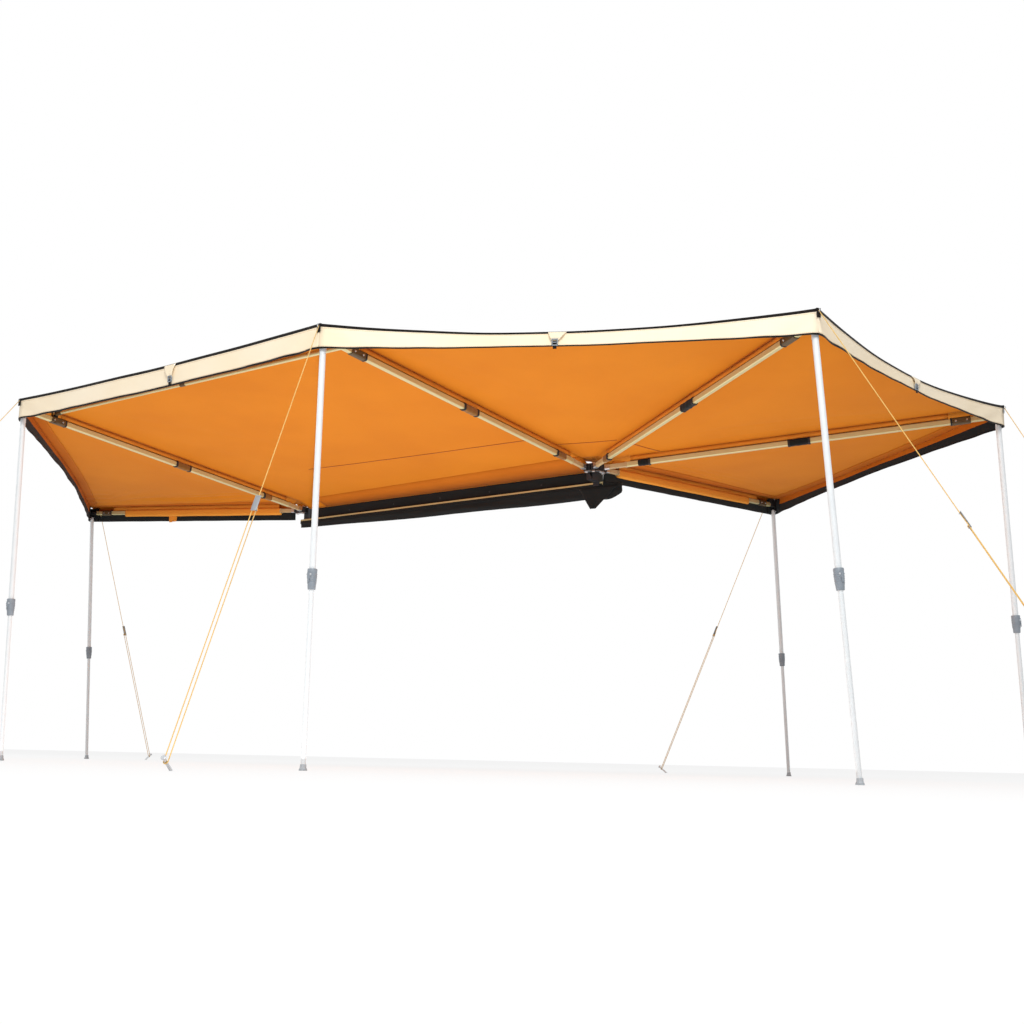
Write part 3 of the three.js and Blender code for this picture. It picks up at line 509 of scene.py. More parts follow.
# Grosgrain: a fine ribbed edge, nearly black.
TAPE = cloth("grosgrain_tape_black", "#1A1614", "#120F0E", 0.003, 0.8, 0.08, 0.3)
# Webbing in bright orange, lighter than the cloth that it holds: painted light, brightened to make up for the shade on
# its upright faces.
WEBBING_PAINTED_LIGHT = cloth("webbing_tape_orange", "#F2A440", "#EA9632", 0.003, 0.8, 0.02, 0.3)
# Buff cord: pale stitches on the ivory and on the black.
PIPING = cloth("piping_cord_buff", "#D9B98A", "#C7A474", 0.003, 0.8, 0.2, 0.3)
# Tan canvas: soft, with a light bloom at its edges.
SLEEVE = cloth("canvas_sleeve_tan", "#94682E", "#7D5524", 0.003, 0.85, 0.2)
# Champagne anodised aluminium: satin, finely grained, faintly warm.
CHAMPAGNE = metal("anodised_aluminium_champagne", "#D6CE9C", "#BFB780", 0.38, 0.35)
# White powder coat on aluminium tube: smooth, low gloss.
WHITE_COAT = metal("powder_coat_white", "#E6EAEC", "#CBD2D6", 0.35, 0.0, wear=0.5)
# Graphite powder coat on steel: dark, with dull wide highlights.
DARK_COAT = metal("powder_coat_graphite_steel", "#303238", "#1E2024", 0.45, 0.35)
# Zinc plate: bright and cool, with sharp highlights.
ZINC = metal("zinc_plated_steel", "#D5D8DB", "#AEB3B8", 0.28, 0.9)
# Cast, unpolished metal: reads as a mid grey against the sky.
CAST_GREY = metal("cast_aluminium_grey", "#9DA0A3", "#7E8286", 0.5, 0.6)
# Glass-filled nylon in four colours: matt and finely grained.
BUFF_NYLON = moulded("glass_nylon_buff", "#C9B184", "#B59C6E", 0.5)
BROWN_NYLON = moulded("glass_nylon_brown", "#5C4A2C", "#483A22", 0.55)
GREY_NYLON = moulded("glass_nylon_blue_grey", "#8A939C", "#737C86", 0.45)
PALE_NYLON = moulded("glass_nylon_pale_grey", "#B4BABF", "#9AA1A7", 0.5)
# Rubber: flat black, no clear highlight.
RUBBER = moulded("epdm_rubber_black", "#26272A", "#1B1C1E", 0.7)
# Braided line: amber, with a pattern of crossing strands.
ROPE = braided_rope("braided_polyester_amber", "#EBC06A", "#C9943C")


# Mesh helpers.
SMOOTH_ANGLE = 35
WASHER_TALL = 0.0012
HOME = Matrix()


def new_piece(name, points, faces, materials, kinds=None, uvs=None, smooth=True):
    """A mesh object with its place in its mesh. UVs are given per face corner, in metres."""
    mesh = bpy.data.meshes.new(name)
    mesh.from_pydata([tuple(p) for p in points], [], faces)
    for material in materials:
        mesh.materials.append(material)
    if kinds:
        mesh.polygons.foreach_set("material_index", kinds)
    if uvs:
        layer = mesh.uv_layers.new(name="UVMap")
        layer.data.foreach_set("uv", [value for pair in uvs for value in pair])
    mesh.polygons.foreach_set("use_smooth", [smooth] * len(mesh.polygons))
    mesh.validate()
    mesh.update()
    return add_object(name, mesh)


def applied(made):
    """Makes a piece's modifiers part of its mesh."""
    evaluated = made.evaluated_get(bpy.context.evaluated_depsgraph_get())
    final = bpy.data.meshes.new_from_object(evaluated)
    made.modifiers.clear()
    old, made.data = made.data, final
    bpy.data.meshes.remove(old)
    return made


def thickened(made, thickness, offset=0):
    """Gives cloth its thickness, about its face or below it. The other side takes the next material, if any."""
    solid = made.modifiers.new("cloth_thickness", "SOLIDIFY")
    solid.thickness, solid.offset = thickness, offset
    solid.material_offset = solid.material_offset_rim = min(1, len(made.data.materials) - 1)
    return applied(made)


def facing(made, way):
    """Turns an open sheet's faces to a direction."""
    if sum(face.normal.dot(way) for face in made.data.polygons) < 0:
        made.data.flip_normals()
    return made


def closed_out(made):
    """Turns a closed piece's faces outwards."""
    shape = bmesh.new()
    shape.from_mesh(made.data)
    bmesh.ops.recalc_face_normals(shape, faces=shape.faces)
    shape.to_mesh(made.data)
    shape.free()
    return made


def skin(name, rows, materials, uv, around=False, kinds=None, smooth=True):
    """A skin over rows of points. One that goes around is closed, with a cap at each end."""
    count = len(rows[0])
    faces, uvs = [], []
    for i in range(len(rows) - 1):
        for k in range(count if around else count - 1):
            n = (k + 1) % count
            faces.append((i * count + k, i * count + n, (i + 1) * count + n, (i + 1) * count + k))
            uvs += [uv(i, k), uv(i, k + 1), uv(i + 1, k + 1), uv(i + 1, k)]
    if around:
        last = (len(rows) - 1) * count
        faces += [tuple(range(count))[::-1], tuple(range(last, last + count))]
        uvs += [(0, 0)] * (2 * count)
    made = new_piece(name, [point for row in rows for point in row], faces, materials, kinds, uvs, smooth)
    return closed_out(made) if around else made


def from_bmesh(name, shape, material, place=HOME):
    """Turns a bmesh into a piece, faces out, smooth up to an angle between faces."""
    shape.transform(place)
    bmesh.ops.remove_doubles(shape, verts=shape.verts, dist=1e-6)
    bmesh.ops.recalc_face_normals(shape, faces=shape.faces)
    for edge in shape.edges:
        edge.smooth = len(edge.link_faces) == 2 and edge.calc_face_angle(0) < math.radians(SMOOTH_ANGLE)
    for face in shape.faces:
        face.smooth = True
    mesh = bpy.data.meshes.new(name)
    shape.to_mesh(mesh)
    shape.free()
    mesh.materials.append(material)
    return add_object(name, mesh)


def rounded_block(shape, low, high, bevel, segments=2):
    """Adds a box with rounded edges to a bmesh."""
    low, high = Vector(low), Vector(high)
    place = Matrix.Translation((low + high) / 2) @ Matrix.Diagonal((*(high - low), 1))
    made = bmesh.ops.create_cube(shape, size=1, matrix=place)
    edges = list({edge for vert in made["verts"] for edge in vert.link_edges})
    bmesh.ops.bevel(
        shape, geom=edges, offset=bevel, segments=segments, affect="EDGES", clamp_overlap=True, profile=0.5
    )


def bridge(shape, ring, other):
    """Adds faces between two rings of a bmesh. A ring may be a single point."""
    count = max(len(ring), len(other))
    ring, other = ring * (count // len(ring)), other * (count // len(other))
    for k in range(count):
        n = (k + 1) % count
        corners = list(dict.fromkeys((ring[k], ring[n], other[n], other[k])))
        if len(corners) > 2:
            shape.faces.new(corners)


def turned(shape, profile, sides, place=HOME):
    """Adds a lathe-turned form about Z from (radius, height) points."""
    rings = []
    for radius, height in profile:
        spots = [(radius * c, radius * n) for _, c, n in circle(sides)] if radius else [(0, 0)]
        rings.append([shape.verts.new(place @ Vector((*spot, height))) for spot in spots])
    for lower, upper in zip(rings, rings[1:]):
        bridge(shape, lower, upper)


def ring_at(shape, centre, axis, major, minor):
    """Adds a round eye to a bmesh."""
    place = Matrix.Translation(centre) @ UP.rotation_difference(axis).to_matrix().to_4x4()
    rings = []
    for _, x, y in circle(20):
        spots = [((major + minor * c) * x, (major + minor * c) * y, minor * n) for _, c, n in circle(8)]
        rings.append([shape.verts.new(place @ Vector(spot)) for spot in spots])
    for ring, after in zip(rings, rings[1:] + rings[:1]):
        bridge(shape, ring, after)


def hex_bolt(shape, place, radius, tall, washer):
    """Adds a chamfered hexagon head to a bmesh, with a washer under it and a dome on it."""
    base, top = WASHER_TALL, WASHER_TALL + tall
    turned(shape, [(0, 0), (washer, 0), (washer, base - 0.0004), (washer - 0.0004, base), (0, base)], 28, place)
    profile = [(0, base), (radius * 0.93, base), (radius, base + 0.0006), (radius, top - 0.0012)]
    profile += [(radius * 0.86, top), (radius * 0.5, top), (radius * 0.42, top + 0.0006), (0, top + 0.0009)]
    turned(shape, profile, 6, place)


def lathed(name, profile, sides, material, place=HOME):
    shape = bmesh.new()
    turned(shape, profile, sides, place)
    return from_bmesh(name, shape, material)


def blocks(name, boxes, material, place=HOME):
    """Boxes with rounded edges as one piece. Each is given by two corners and its bevel."""
    shape = bmesh.new()
    for box in boxes:
        rounded_block(shape, *box)
    return from_bmesh(name, shape, material, place)


def rings_piece(name, rings):
    """Round eyes in plated steel as one piece. Each is given by centre, axis and its two radii."""
    shape = bmesh.new()
    for ring in rings:
        ring_at(shape, *ring)
    return from_bmesh(name, shape, ZINC)


def runs(points):
    """The length along a line at each of its points."""
    return [0.0, *accumulate((b - a).length for a, b in zip(points, points[1:]))]


def tube(name, path, radius, sides, material, normal=None):
    """A round tube through points, with a UV map that runs in metres round it and along it."""
    path = [Vector(point) for point in path]
    rows, sideways = [], None
    for i, point in enumerate(path):
        forward = (path[min(i + 1, len(path) - 1)] - path[max(i - 1, 0)]).normalized()
        if normal is None:
            reference = forward.orthogonal() if sideways is None else sideways
            sideways = (reference - forward * reference.dot(forward)).normalized()
        else:
            sideways = normal.cross(forward).normalized()
        upward = forward.cross(sideways)
        rows.append([point + (sideways * c + upward * n) * radius for _, c, n in circle(sides)])
    step, travels = 2 * math.pi * radius / sides, runs(path)
    return skin(name, rows, [material], lambda i, k: (k * step, travels[i]), around=True)


def dress(made, body, slot, *nodes):
    """Puts a finished piece on its body, with its finish slot and the nodes that it stands for."""
    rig.ride(made, body)
    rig.slot(made, slot)
    if nodes:
        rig.replaces(made, *nodes)
    return made


def bolts(name, places, sizes, body):
    """Plated bolt heads as one piece. The sizes are radius, height and washer radius."""
    shape = bmesh.new()
    for place in places:
        hex_bolt(shape, place, *sizes)
    return dress(from_bmesh(name, shape, ZINC), body, "peg_steel")


def both_sides(place, x, reach, z=0.0):
    """Where bolt heads stand out to either side of a frame's middle plane."""
    return [
        place @ Matrix.Translation((x, side * reach, z)) @ Matrix.Rotation(-side * math.pi / 2, 4, "X")
        for side in (-1, 1)
    ]


# Guy ropes, runners and pegs.
ROPE_KEEP = 0.02
KNOT_TURNS, KNOT_STEPS, KNOT_LONG = 3, 36, 0.011


def rope_runner(number, place):
    """A cast slider: a flat bar with three eyes that the rope threads."""
    shape = bmesh.new()
    face = ROPE_DIAMETER / 2 + 0.0008
    rounded_block(shape, (-0.004, -0.013, face), (RUNNER_LONG + 0.004, 0.013, face + 0.003), 0.0014)
    shape.transform(place)
    for along, offset in ((0.003, 0), (RUNNER_LONG - 0.003, -STRAND_HALF), (RUNNER_LONG, STRAND_HALF)):
        ring_at(shape, place @ Vector((along, offset, 0)), place.col[0].to_3d(), 0.0042, 0.0015)
    return dress(from_bmesh(f"rope_runner_{number}", shape, CAST_GREY), "frame", "peg_steel")


def rope_knot(name, centre, axis):
    """A stopper knot: the rope wound round itself."""
    side = axis.orthogonal().normalized()
    other = axis.cross(side)
    points = []
    for i in range(KNOT_STEPS + 1):
        share = i / KNOT_STEPS
        angle = 2 * math.pi * KNOT_TURNS * share
        reach = ROPE_DIAMETER * (0.95 - 0.25 * abs(2 * share - 1))
        wound = side * (reach * math.cos(angle)) + other * (reach * math.sin(angle))
        points.append(centre + wound + axis * ((share - 0.5) * KNOT_LONG))
    return dress(tube(name, points, ROPE_DIAMETER / 2 * 0.9, 8, ROPE), "frame", "rope")


def ground_peg(number):
    """A galvanised stake with a domed head, driven in to the ground line."""
    _, base, shaft, _ = rope_ends(number)
    profile = [
        (0, -0.008),
        (PEG_RADIUS, -0.008),
        (PEG_RADIUS, PEG_LONG - PEG_HEAD_TALL - 0.001),
        (PEG_HEAD_RADIUS - 0.001, PEG_LONG - PEG_HEAD_TALL),
        (PEG_HEAD_RADIUS, PEG_LONG - PEG_HEAD_TALL * 0.7),
        (PEG_HEAD_RADIUS, PEG_LONG - PEG_HEAD_TALL * 0.3),
        (PEG_HEAD_RADIUS * 0.8, PEG_LONG - 0.0005),
        (0, PEG_LONG),
    ]
    shape = bmesh.new()
    turned(shape, profile, 24, Matrix.Translation(base) @ UP.rotation_difference(shaft).to_matrix().to_4x4())
    everything = shape.verts[:] + shape.edges[:] + shape.faces[:]
    cut = bmesh.ops.bisect_plane(shape, geom=everything, plane_co=(0, 0, 0.0005), plane_no=UP, clear_inner=True)
    rim = [item for item in cut["geom_cut"] if isinstance(item, bmesh.types.BMEdge)]
    bmesh.ops.holes_fill(shape, edges=rim)
    return dress(from_bmesh(f"stake_{number}", shape, ZINC), "frame", "peg_steel", f"peg_{number}")


def guy_rope(number):
    """A rope with its runner, knot and peg. It falls flat on the ground when its arm folds away."""
    points, runner, down, aside = rope_route(number)
    normal = down.cross(aside)
    route = tube(f"guy_line_{number}", points, ROPE_DIAMETER / 2, 10, ROPE, normal)
    dress(route, "frame", "rope", f"guy_rope_{number}")
    slider = rope_runner(number, Matrix.Translation(runner) @ basis(down, aside, normal))
    knot = rope_knot(f"rope_knot_{number}", points[-1] - down * 0.006, down)
    stake = ground_peg(number)
    for made in (route, slider, knot):
        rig.squash(made, arms[number].fold, axis=(0, 0, 1), anchor=(0, 0, 0), keep=ROPE_KEEP)
    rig.cord(
        route,
        exit=points[0],
        length=runs(points)[-1],
        diameter=ROPE_DIAMETER,
        far_end="knot",
        stiffness="limp",
        lay="taut",
        path=points,
        with_pieces=[slider, knot, stake],
    )


for number in arms:
    guy_rope(number)


# Canopy panels.
HEM_SHARE = 0.05
SPAN_CELLS, RADIAL_CELLS, VALANCE_CELLS = 72, 72, 9
VALANCE_FOOT = CORNER_HEIGHT - VALANCE_DROP
# In the folded bundle each fan's cloth stands between its own arm's rings and the next lane's.
BUNDLE_START, BUNDLE_ROOM = 0.0192, 0.0105
RAIL_KEEP = 0.012


class Panel:
    """Cloth between two arms. s runs from the first arm to the second, t from the hub to the outer edge."""

    def __init__(self, name, first, second, body, ripples):
        self.name, self.first, self.second, self.body, self.ripples = name, first, second, body, ripples
        self.hemmed = body == "frame"
        self.joint = "front_fold" if body == "arm_2" else "rear_fold"
        # The outer edge of the middle panel goes with its front half.
        self.edge_joint = "front_fold" if self.hemmed else self.joint
        self.span = (second.corner - first.corner).length
        if self.hemmed:
            self.bow, self.sag = MAIN_BOW, MAIN_SAG
            self.axis, self.anchor, self.keep = Vector((0, 1, 0)), Vector((0, RAIL_LINE, 0)), RAIL_KEEP
        else:
            self.bow, self.sag = FAN_BOW, FAN_SAG
            carrier = arms[int(body[-1])]
            other = second if carrier is first else first
            spread = (other.corner - carrier.pin).dot(carrier.left)
            self.axis = carrier.left
            self.anchor = carrier.pin + carrier.left * math.copysign(BUNDLE_START, spread)
            self.keep = BUNDLE_ROOM / abs(spread)

    def line(self, arm, t, sign):
        """A point of the panel's edge along an arm."""
        share = t
        if self.hemmed:
            if t < HEM_SHARE:
                inset = Vector((arm.pin.x + sign * HEM_INSET, RAIL_LINE, HUB_HEIGHT + HEM_HEIGHT))
                return inset.lerp(self.line(arm, HEM_SHARE, sign), t / HEM_SHARE)
            share = (t - HEM_SHARE) / (1 - HEM_SHARE)
        return arm.spot(FAN_INNER + share * (arm.length - FAN_INNER), rise=CANOPY_LIFT + SHEET)

    def chord(self, s, t):
        """The panel's straight surface between its two arms."""
        return self.line(self.first, t, 1).lerp(self.line(self.second, t, -1), s)

    def at(self, s, t):
        """The top of the cloth."""
        outward = (self.chord(s, 1) - self.chord(s, 0)).to_2d().normalized().to_3d()
        belly = 4 * s * (1 - s)
        spot = self.chord(s, t) - outward * (self.bow * belly * t)
        spot.z -= self.sag * belly * t * t - self.ripples(s, t) * min(1, belly * 6)
        return spot

    def normal(self, s, t):
        step = 0.004
        low_s, low_t = min(s, 1 - step), min(t, 1 - step)
        across = self.at(low_s + step, t) - self.at(low_s, t)
        along = self.at(s, low_t + step) - self.at(s, low_t)
        up = across.cross(along).normalized()
        return up if up.z > 0 else -up

    def outward(self, s):
        """The level direction out of the canopy at its outer edge."""
        return (self.at(s, 1) - self.at(s, 0.97)).to_2d().normalized().to_3d()

    def valance(self, s, depth):
        """The hanging edge, from the outer edge at depth 0 to its foot at depth 1, with slack waves."""
        spot = self.at(s, 1)
        wave = math.sin(s * self.span * 9 + 2 * drift(s, 0, 0.2, self.span)) * 0.004
        wave += 0.003 * drift(s * self.span, depth * 0.12, 0.07, self.span)
        corner = min(s, 1 - s) * self.span
        pleat = 0.009 * math.sin(corner * 30 - depth * 6) * math.exp(-corner * 4)
        spot += self.outward(s) * ((wave * 4 * s * (1 - s) + pleat * min(1, corner * 30)) * depth)
        spot.z += (VALANCE_FOOT - spot.z) * depth
        return spot

    def share_of(self, width, t):
        """The share s that a width in metres takes of the panel at t."""
        return width / (self.line(self.second, t, -1) - self.line(self.first, t, 1)).length

    def hang(self, made, slot, joint, *nodes):
        """Dresses a piece of the panel. It bunches beside its own arm, or at the rail, as the awning folds."""
        dress(made, self.body, slot, *nodes)
        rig.squash(made, joint, axis=self.axis, anchor=self.anchor, keep=self.keep)
        return made


def drift(x, y, size, seed):
    """A slow unevenness, from -1 to 1."""
    return noise.noise(Vector((x / size, y / size, seed)))


def calm_ripples(seed):
    """Slight unevenness of taut cloth, with creases that run in from both outer corners."""

    def height(s, t):
        base = 0.003 * drift(s * 2.6, t * 2.3, 0.42, seed) * t
        for corner in (0, 1):
            for line in (0.18, 0.42):
                off = (1 - t) * line * 1.6 - abs(s - corner)
                base += 0.015 * math.exp(-((off / 0.022) ** 2)) * (1 - t) * math.exp(-(1 - t) * 4)
        return base

    return height


def radial_ripples(seed, first_side, strength):
    """Slack folds that fan out from a free arm's outer corner, and tucks that run beside that arm."""
    calm = calm_ripples(seed)

    def height(s, t):
        share = s if first_side else 1 - s
        fan = share / max(1.02 - t, 0.15)
        gate = math.exp(-((share - 0.10) / 0.14) ** 2) * t * (1.05 - t) * 3
        away = share * t * 2.3
        beside = math.exp(-(((away - 0.20) / 0.09) ** 2)) * math.sin(math.pi * min(1, t / 0.85))
        tucks = 0.7 * beside * math.sin(away * 85 + 1.2 * drift(s, t, 0.2, seed + 5))
        return calm(s, t) + strength * (gate * math.sin(fan * 15 + 1.5 * drift(s, t, 0.3, seed + 3)) + tucks)

    return height


panels = {
    "front": Panel("front_fan", arms[1], arms[2], "arm_2", radial_ripples(1.5, True, 0.017)),
    "main": Panel("main", arms[3], arms[2], "frame", calm_ripples(4.5)),
    "rear_3": Panel("rear_fan_3", arms[3], arms[4], "arm_3", calm_ripples(7.5)),
    "rear_4": Panel("rear_fan_4", arms[4], arms[5], "arm_4", calm_ripples(9.5)),
    "rear_5": Panel("rear_fan_5", arms[5], arms[6], "arm_5", radial_ripples(12.5, False, 0.005)),
}

# Outside and inside of each part of the sheet, in the order of the material slots.
# The inside of the valance's upper part takes the darker doubled orange, with its painted shade.
CLOTH_SIDES = [IVORY, ORANGE, IVORY, ORANGE_SHADED_HEM, IVORY, BLACK_CLOTH]
TOP_FACE, VALANCE_FACE, VALANCE_LOW_FACE = 0, 2, 4
VALANCE_BLACK_FROM = 4


def cell_corners(i, j, part):
    """A cell of the sheet, or its half on one side of the line from corner 3 to the front hub."""
    square = [(i, j), (i + 1, j), (i + 1, j + 1), (i, j + 1)]
    if part == "whole":
        return square
    if j >= RADIAL_CELLS:
        return square if part == "front" else []
    reach = i + j + 1 - RADIAL_CELLS
    if reach == 0:
        return [square[0], square[1], square[3]] if part == "rear" else square[1:]
    return square if (reach < 0) == (part == "rear") else []


def panel_sheet(panel, name, node_name, part="whole"):
    """One continuous sheet: the panel's top and, past its outer edge, its valance."""
    points, index, faces, kinds, uvs = [], {}, [], [], []
    edge_way = (panel.second.corner - panel.first.corner).normalized()
    across = Vector((-edge_way.y, edge_way.x, 0))

    def vertex(i, j):
        if (i, j) not in index:
            s, t = i / SPAN_CELLS, j / RADIAL_CELLS
            index[i, j] = len(points)
            points.append(panel.at(s, t) if t <= 1 else panel.valance(s, (j - RADIAL_CELLS) / VALANCE_CELLS))
        return index[i, j]

    for j in range(RADIAL_CELLS + VALANCE_CELLS):
        hanging = j - RADIAL_CELLS
        kind = TOP_FACE if hanging < 0 else VALANCE_FACE if hanging < VALANCE_BLACK_FROM else VALANCE_LOW_FACE
        for i in range(SPAN_CELLS):
            cell = [vertex(*corner) for corner in cell_corners(i, j, part)]
            if cell:
                faces.append(cell)
                kinds.append(kind)
            for spot in (points[corner] for corner in cell):
                uvs.append((spot.dot(edge_way), spot.dot(across) if hanging < 0 else -spot.z))
    made = facing(new_piece(name, points, faces, CLOTH_SIDES, kinds, uvs), UP)
    area = sum(face.area for face in made.data.polygons)
    thickened(made, SHEET, -1)
    panel.hang(made, "canvas", "front_fold" if part == "front" else panel.joint, node_name)
    wide = panel.span
    long = max(panel.first.length, panel.second.length) + (0 if part == "rear" else VALANCE_DROP)
    carried = ["base_rail"] if panel.hemmed else []
    carried += [f"arm_tip_{arm.number}" for arm in (panel.first, panel.second)]
    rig.sheet(made, flat=(wide, long), held="stretched", area=area, rests_on=carried)


panel_sheet(panels["front"], "front_fan_cloth", "canopy_front_fan")
panel_sheet(panels["main"], "main_cloth_rear", "canopy_main", "rear")
panel_sheet(panels["main"], "main_cloth_front", "canopy_main", "front")
for key in (3, 4, 5):
    panel_sheet(panels[f"rear_{key}"], f"rear_fan_cloth_{key}", f"canopy_rear_fan_{key}")


# Hems, bindings and seams of the canopy.
OUTER_HEM_WIDE, SIDE_HEM_FROM, SIDE_HEM_TO, SEAM_WIDE = 0.10, 0.018, 0.11, 0.006
# The share of the rail's length that its hem takes.
RAIL_HEM_LONG = 0.93


def panel_strip(name, panel, low, high, material=ORANGE_SHADED_HEM, steps=72, across=2, gap=0.0007):
    """A strip under a panel between two lines, each a function of a share to (s, t), by default in the darker doubled
    orange with its painted shade.
    """
    rows = []
    for i in range(steps + 1):
        start, end = Vector(low(i / steps)), Vector(high(i / steps))
        spots = [start.lerp(end, k / across) for k in range(across + 1)]
        rows.append([panel.at(*spot) - panel.normal(*spot) * (SHEET + gap) for spot in spots])

    def uv(i, k):
        return (rows[i][k] - rows[0][k]).length, (rows[i][k] - rows[i][0]).length

    made = facing(skin(name, rows, [material], uv), -UP)
    return panel.hang(thickened(made, 0.0012, 1), "canvas", panel.joint)


def fan_hems(panel, on_first):
    """The doubled cloth under a fan's outer edge and along its free arm, darker with painted shade."""
    inner = 1 - OUTER_HEM_WIDE / panel.first.length
    name = f"{panel.name}_outer_hem"
    panel_strip(name, panel, lambda a: (a, inner), lambda a: (a, 0.998), steps=160, across=6, gap=0.0020)

    def edge(width):
        def at(a):
            t = 0.02 + 0.97 * a
            share = min(0.5, panel.share_of(width, t))
            return (share if on_first else 1 - share, t)

        return at

    panel_strip(f"{panel.name}_side_hem", panel, edge(SIDE_HEM_FROM), edge(SIDE_HEM_TO), across=8, gap=0.0013)


def share_at(panel, point):
    """The (s, t) of a panel under a point given from the rear hub in plan, by Newton's steps."""
    aim = REAR_HUB.to_2d() + point
    spot = Vector((0.5, 0.4))
    for _ in range(12):
        s, t = (min(0.985, max(0.015, v)) for v in spot)
        here = panel.at(s, t)
        over_s = (panel.at(s + 0.01, t) - here) * 100
        over_t = (panel.at(s, t + 0.01) - here) * 100
        base = Matrix(((over_s.x, over_t.x), (over_s.y, over_t.y)))
        spot = Vector((s, t)) + base.inverted() @ (aim - here.to_2d())
    return Vector([min(0.995, max(0.005, v)) for v in spot])


def seam(name, panel, start, end):
    """A lapped seam on the underside between two points given from the rear hub in plan."""
    start, end = Vector(start), Vector(end)
    way = (end - start).normalized()
    side = Vector((-way.y, way.x)) * (SEAM_WIDE / 2)
    low, high = ([share_at(panel, point + side * sign) for point in (start, end)] for sign in (-1, 1))
    edges = [lambda a: low[0].lerp(low[1], a), lambda a: high[0].lerp(high[1], a)]
    panel_strip(name, panel, *edges, SEAM_THREAD, steps=40, across=1)


fan_hems(panels["front"], True)
fan_hems(panels["rear_5"], False)
# The doubled strip along the rail, darker with painted shade.
rail_hem_edges = [lambda a: (a * RAIL_HEM_LONG, 0.004), lambda a: (a * RAIL_HEM_LONG, 0.066)]
panel_strip("main_rail_hem", panels["main"], *rail_hem_edges)
seam("main_seam", panels["main"], (0.03, 0.49), (1.10, 0.525))
seam("main_seam_far", panels["main"], (1.10, 0.525), (1.72, 0.56))
seam("rear_fan_seam_3", panels["rear_3"], (-0.02, 0.356), (-0.345, 0.258))
seam("rear_fan_seam_4", panels["rear_4"], (-0.375, 0.205), (-0.425, -0.085))


def edge_band(panel, label, section):
    """A band that follows the outer edge. The section is a list of (depth share, offset out in metres)."""

    def at(s, depth, out):
        above = UP * (VALANCE_DROP * max(-depth, 0))
        return panel.valance(s, max(depth, 0)) + panel.outward(s) * out + above

    rows = [[at(i / SPAN_CELLS, *spot) for spot in section] for i in range(SPAN_CELLS + 1)]
    step = panel.span / SPAN_CELLS
    name = f"{panel.name}_{label}"
    made = skin(name, rows, [TAPE], lambda i, k: (i * step, k * 0.01), around=True, smooth=False)
    panel.hang(made, "canvas", panel.edge_joint)


# Depth is a share of the valance. A negative depth stands above the edge.
TOP_BINDING = [(-0.012, -0.016), (-0.017, 0.0006), (0.02, 0.0016)]
TOP_BINDING += [(0.105, 0.0012), (0.105, 0.0004), (0.02, -0.0002)]
FOOT_HEM = [(0.93, 0.0010), (1.0, 0.0012), (1.0, -0.0036), (0.93, -0.0034)]
for panel in panels.values():
    edge_band(panel, "edge_binding", TOP_BINDING)
    edge_band(panel, "foot_hem", FOOT_HEM)


# Skirts along the two free arms, from the canopy's edge over the arm and down: (aside, rise) in metres.
SKIRT_SECTION = [
    (0.000, 0.0504),
    (0.012, 0.0500),
    (0.0195, 0.0488),
    (0.0220, 0.0455),
    (0.0225, 0.030),
    (0.0230, 0.010),
    (0.0232, -0.010),
    (0.0236, -0.018),
    (0.0240, -0.034),
    (0.0246, -0.050),
    (0.0250, -0.065),
]
SKIRT_VALANCE_FROM, SKIRT_BLACK_FROM, SKIRT_STEPS, SKIRT_TALL = 3, 6, 90, 0.14
# How far from the arm's middle plane the rope leaves the arm, and the skirt hangs.
ROPE_PLANE, SKIRT_PLANE = 0.0149, 0.0235


def arm_skirt(number):
    """The cloth that hangs beside a free arm, with the eyelet that its guy rope goes through."""
    arm, side = arms[number], FREE_SIDE[number]
    far = arm.length
    rows = []
    for i in range(SKIRT_STEPS + 1):
        run = FAN_INNER + (far - FAN_INNER) * i / SKIRT_STEPS
        wave = 0.02 * math.sin(run * 17 + 2 * drift(run, 0, 0.2, number))
        waves = [wave * max(0.0, 0.04 - rise) for _, rise in SKIRT_SECTION]
        rows.append([arm.spot(run, side * (out + more), rise) for (out, rise), more in zip(SKIRT_SECTION, waves)])
    kinds = [TOP_FACE] * SKIRT_VALANCE_FROM + [VALANCE_FACE] * (SKIRT_BLACK_FROM - SKIRT_VALANCE_FROM)
    kinds += [VALANCE_LOW_FACE] * (len(SKIRT_SECTION) - 1 - SKIRT_BLACK_FROM)
    step = far / SKIRT_STEPS
    name = f"side_skirt_{number}"
    made = skin(name, rows, CLOTH_SIDES, lambda i, k: (i * step, k * 0.015), kinds=kinds * SKIRT_STEPS)
    facing(made, arm.left * side + UP)
    area = sum(face.area for face in made.data.polygons)
    dress(thickened(made, 0.0016, -1), arm.body, "canvas")
    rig.sheet(
        made,
        flat=(SKIRT_TALL, far - FAN_INNER),
        held="stretched",
        area=area,
        rests_on=[f"arm_tip_{number}"],
    )
    start, base, _, _ = rope_ends(number)
    down = (base - start).normalized()
    centre = start + down * ((SKIRT_PLANE - ROPE_PLANE) / abs(down.dot(arm.left)))
    eyelet = rings_piece(f"skirt_eyelet_{number}", [(centre, arm.left, 0.0062, 0.0018)])
    dress(eyelet, arm.body, "peg_steel")


for number in FREE_SIDE:
    arm_skirt(number)


# Arms.
# Where each arm's near sleeve and mid sleeve sit, from its pin, in metres.
NEAR_SLEEVES = {2: (0.33, 0.40), 3: (0.235, 0.322), 4: (0.152, 0.212), 5: (0.222, 0.288)}
MID_SLEEVE = (1.075, 1.185)
WEB_START, WEB_END, WEB_STEPS = 0.175, 0.275, 60
RING_HALF, CLAMP_LONG, CLAMP_PROUD = 0.006, 0.092, 0.0042


def eased(made, width, angle, harden):
    """Rounds the edges of a piece that are sharper than an angle."""
    rounding = made.modifiers.new("eased_edges", "BEVEL")
    rounding.width, rounding.segments, rounding.harden_normals = width, 2, harden
    rounding.limit_method, rounding.angle_limit = "ANGLE", math.radians(angle)
    return applied(made)


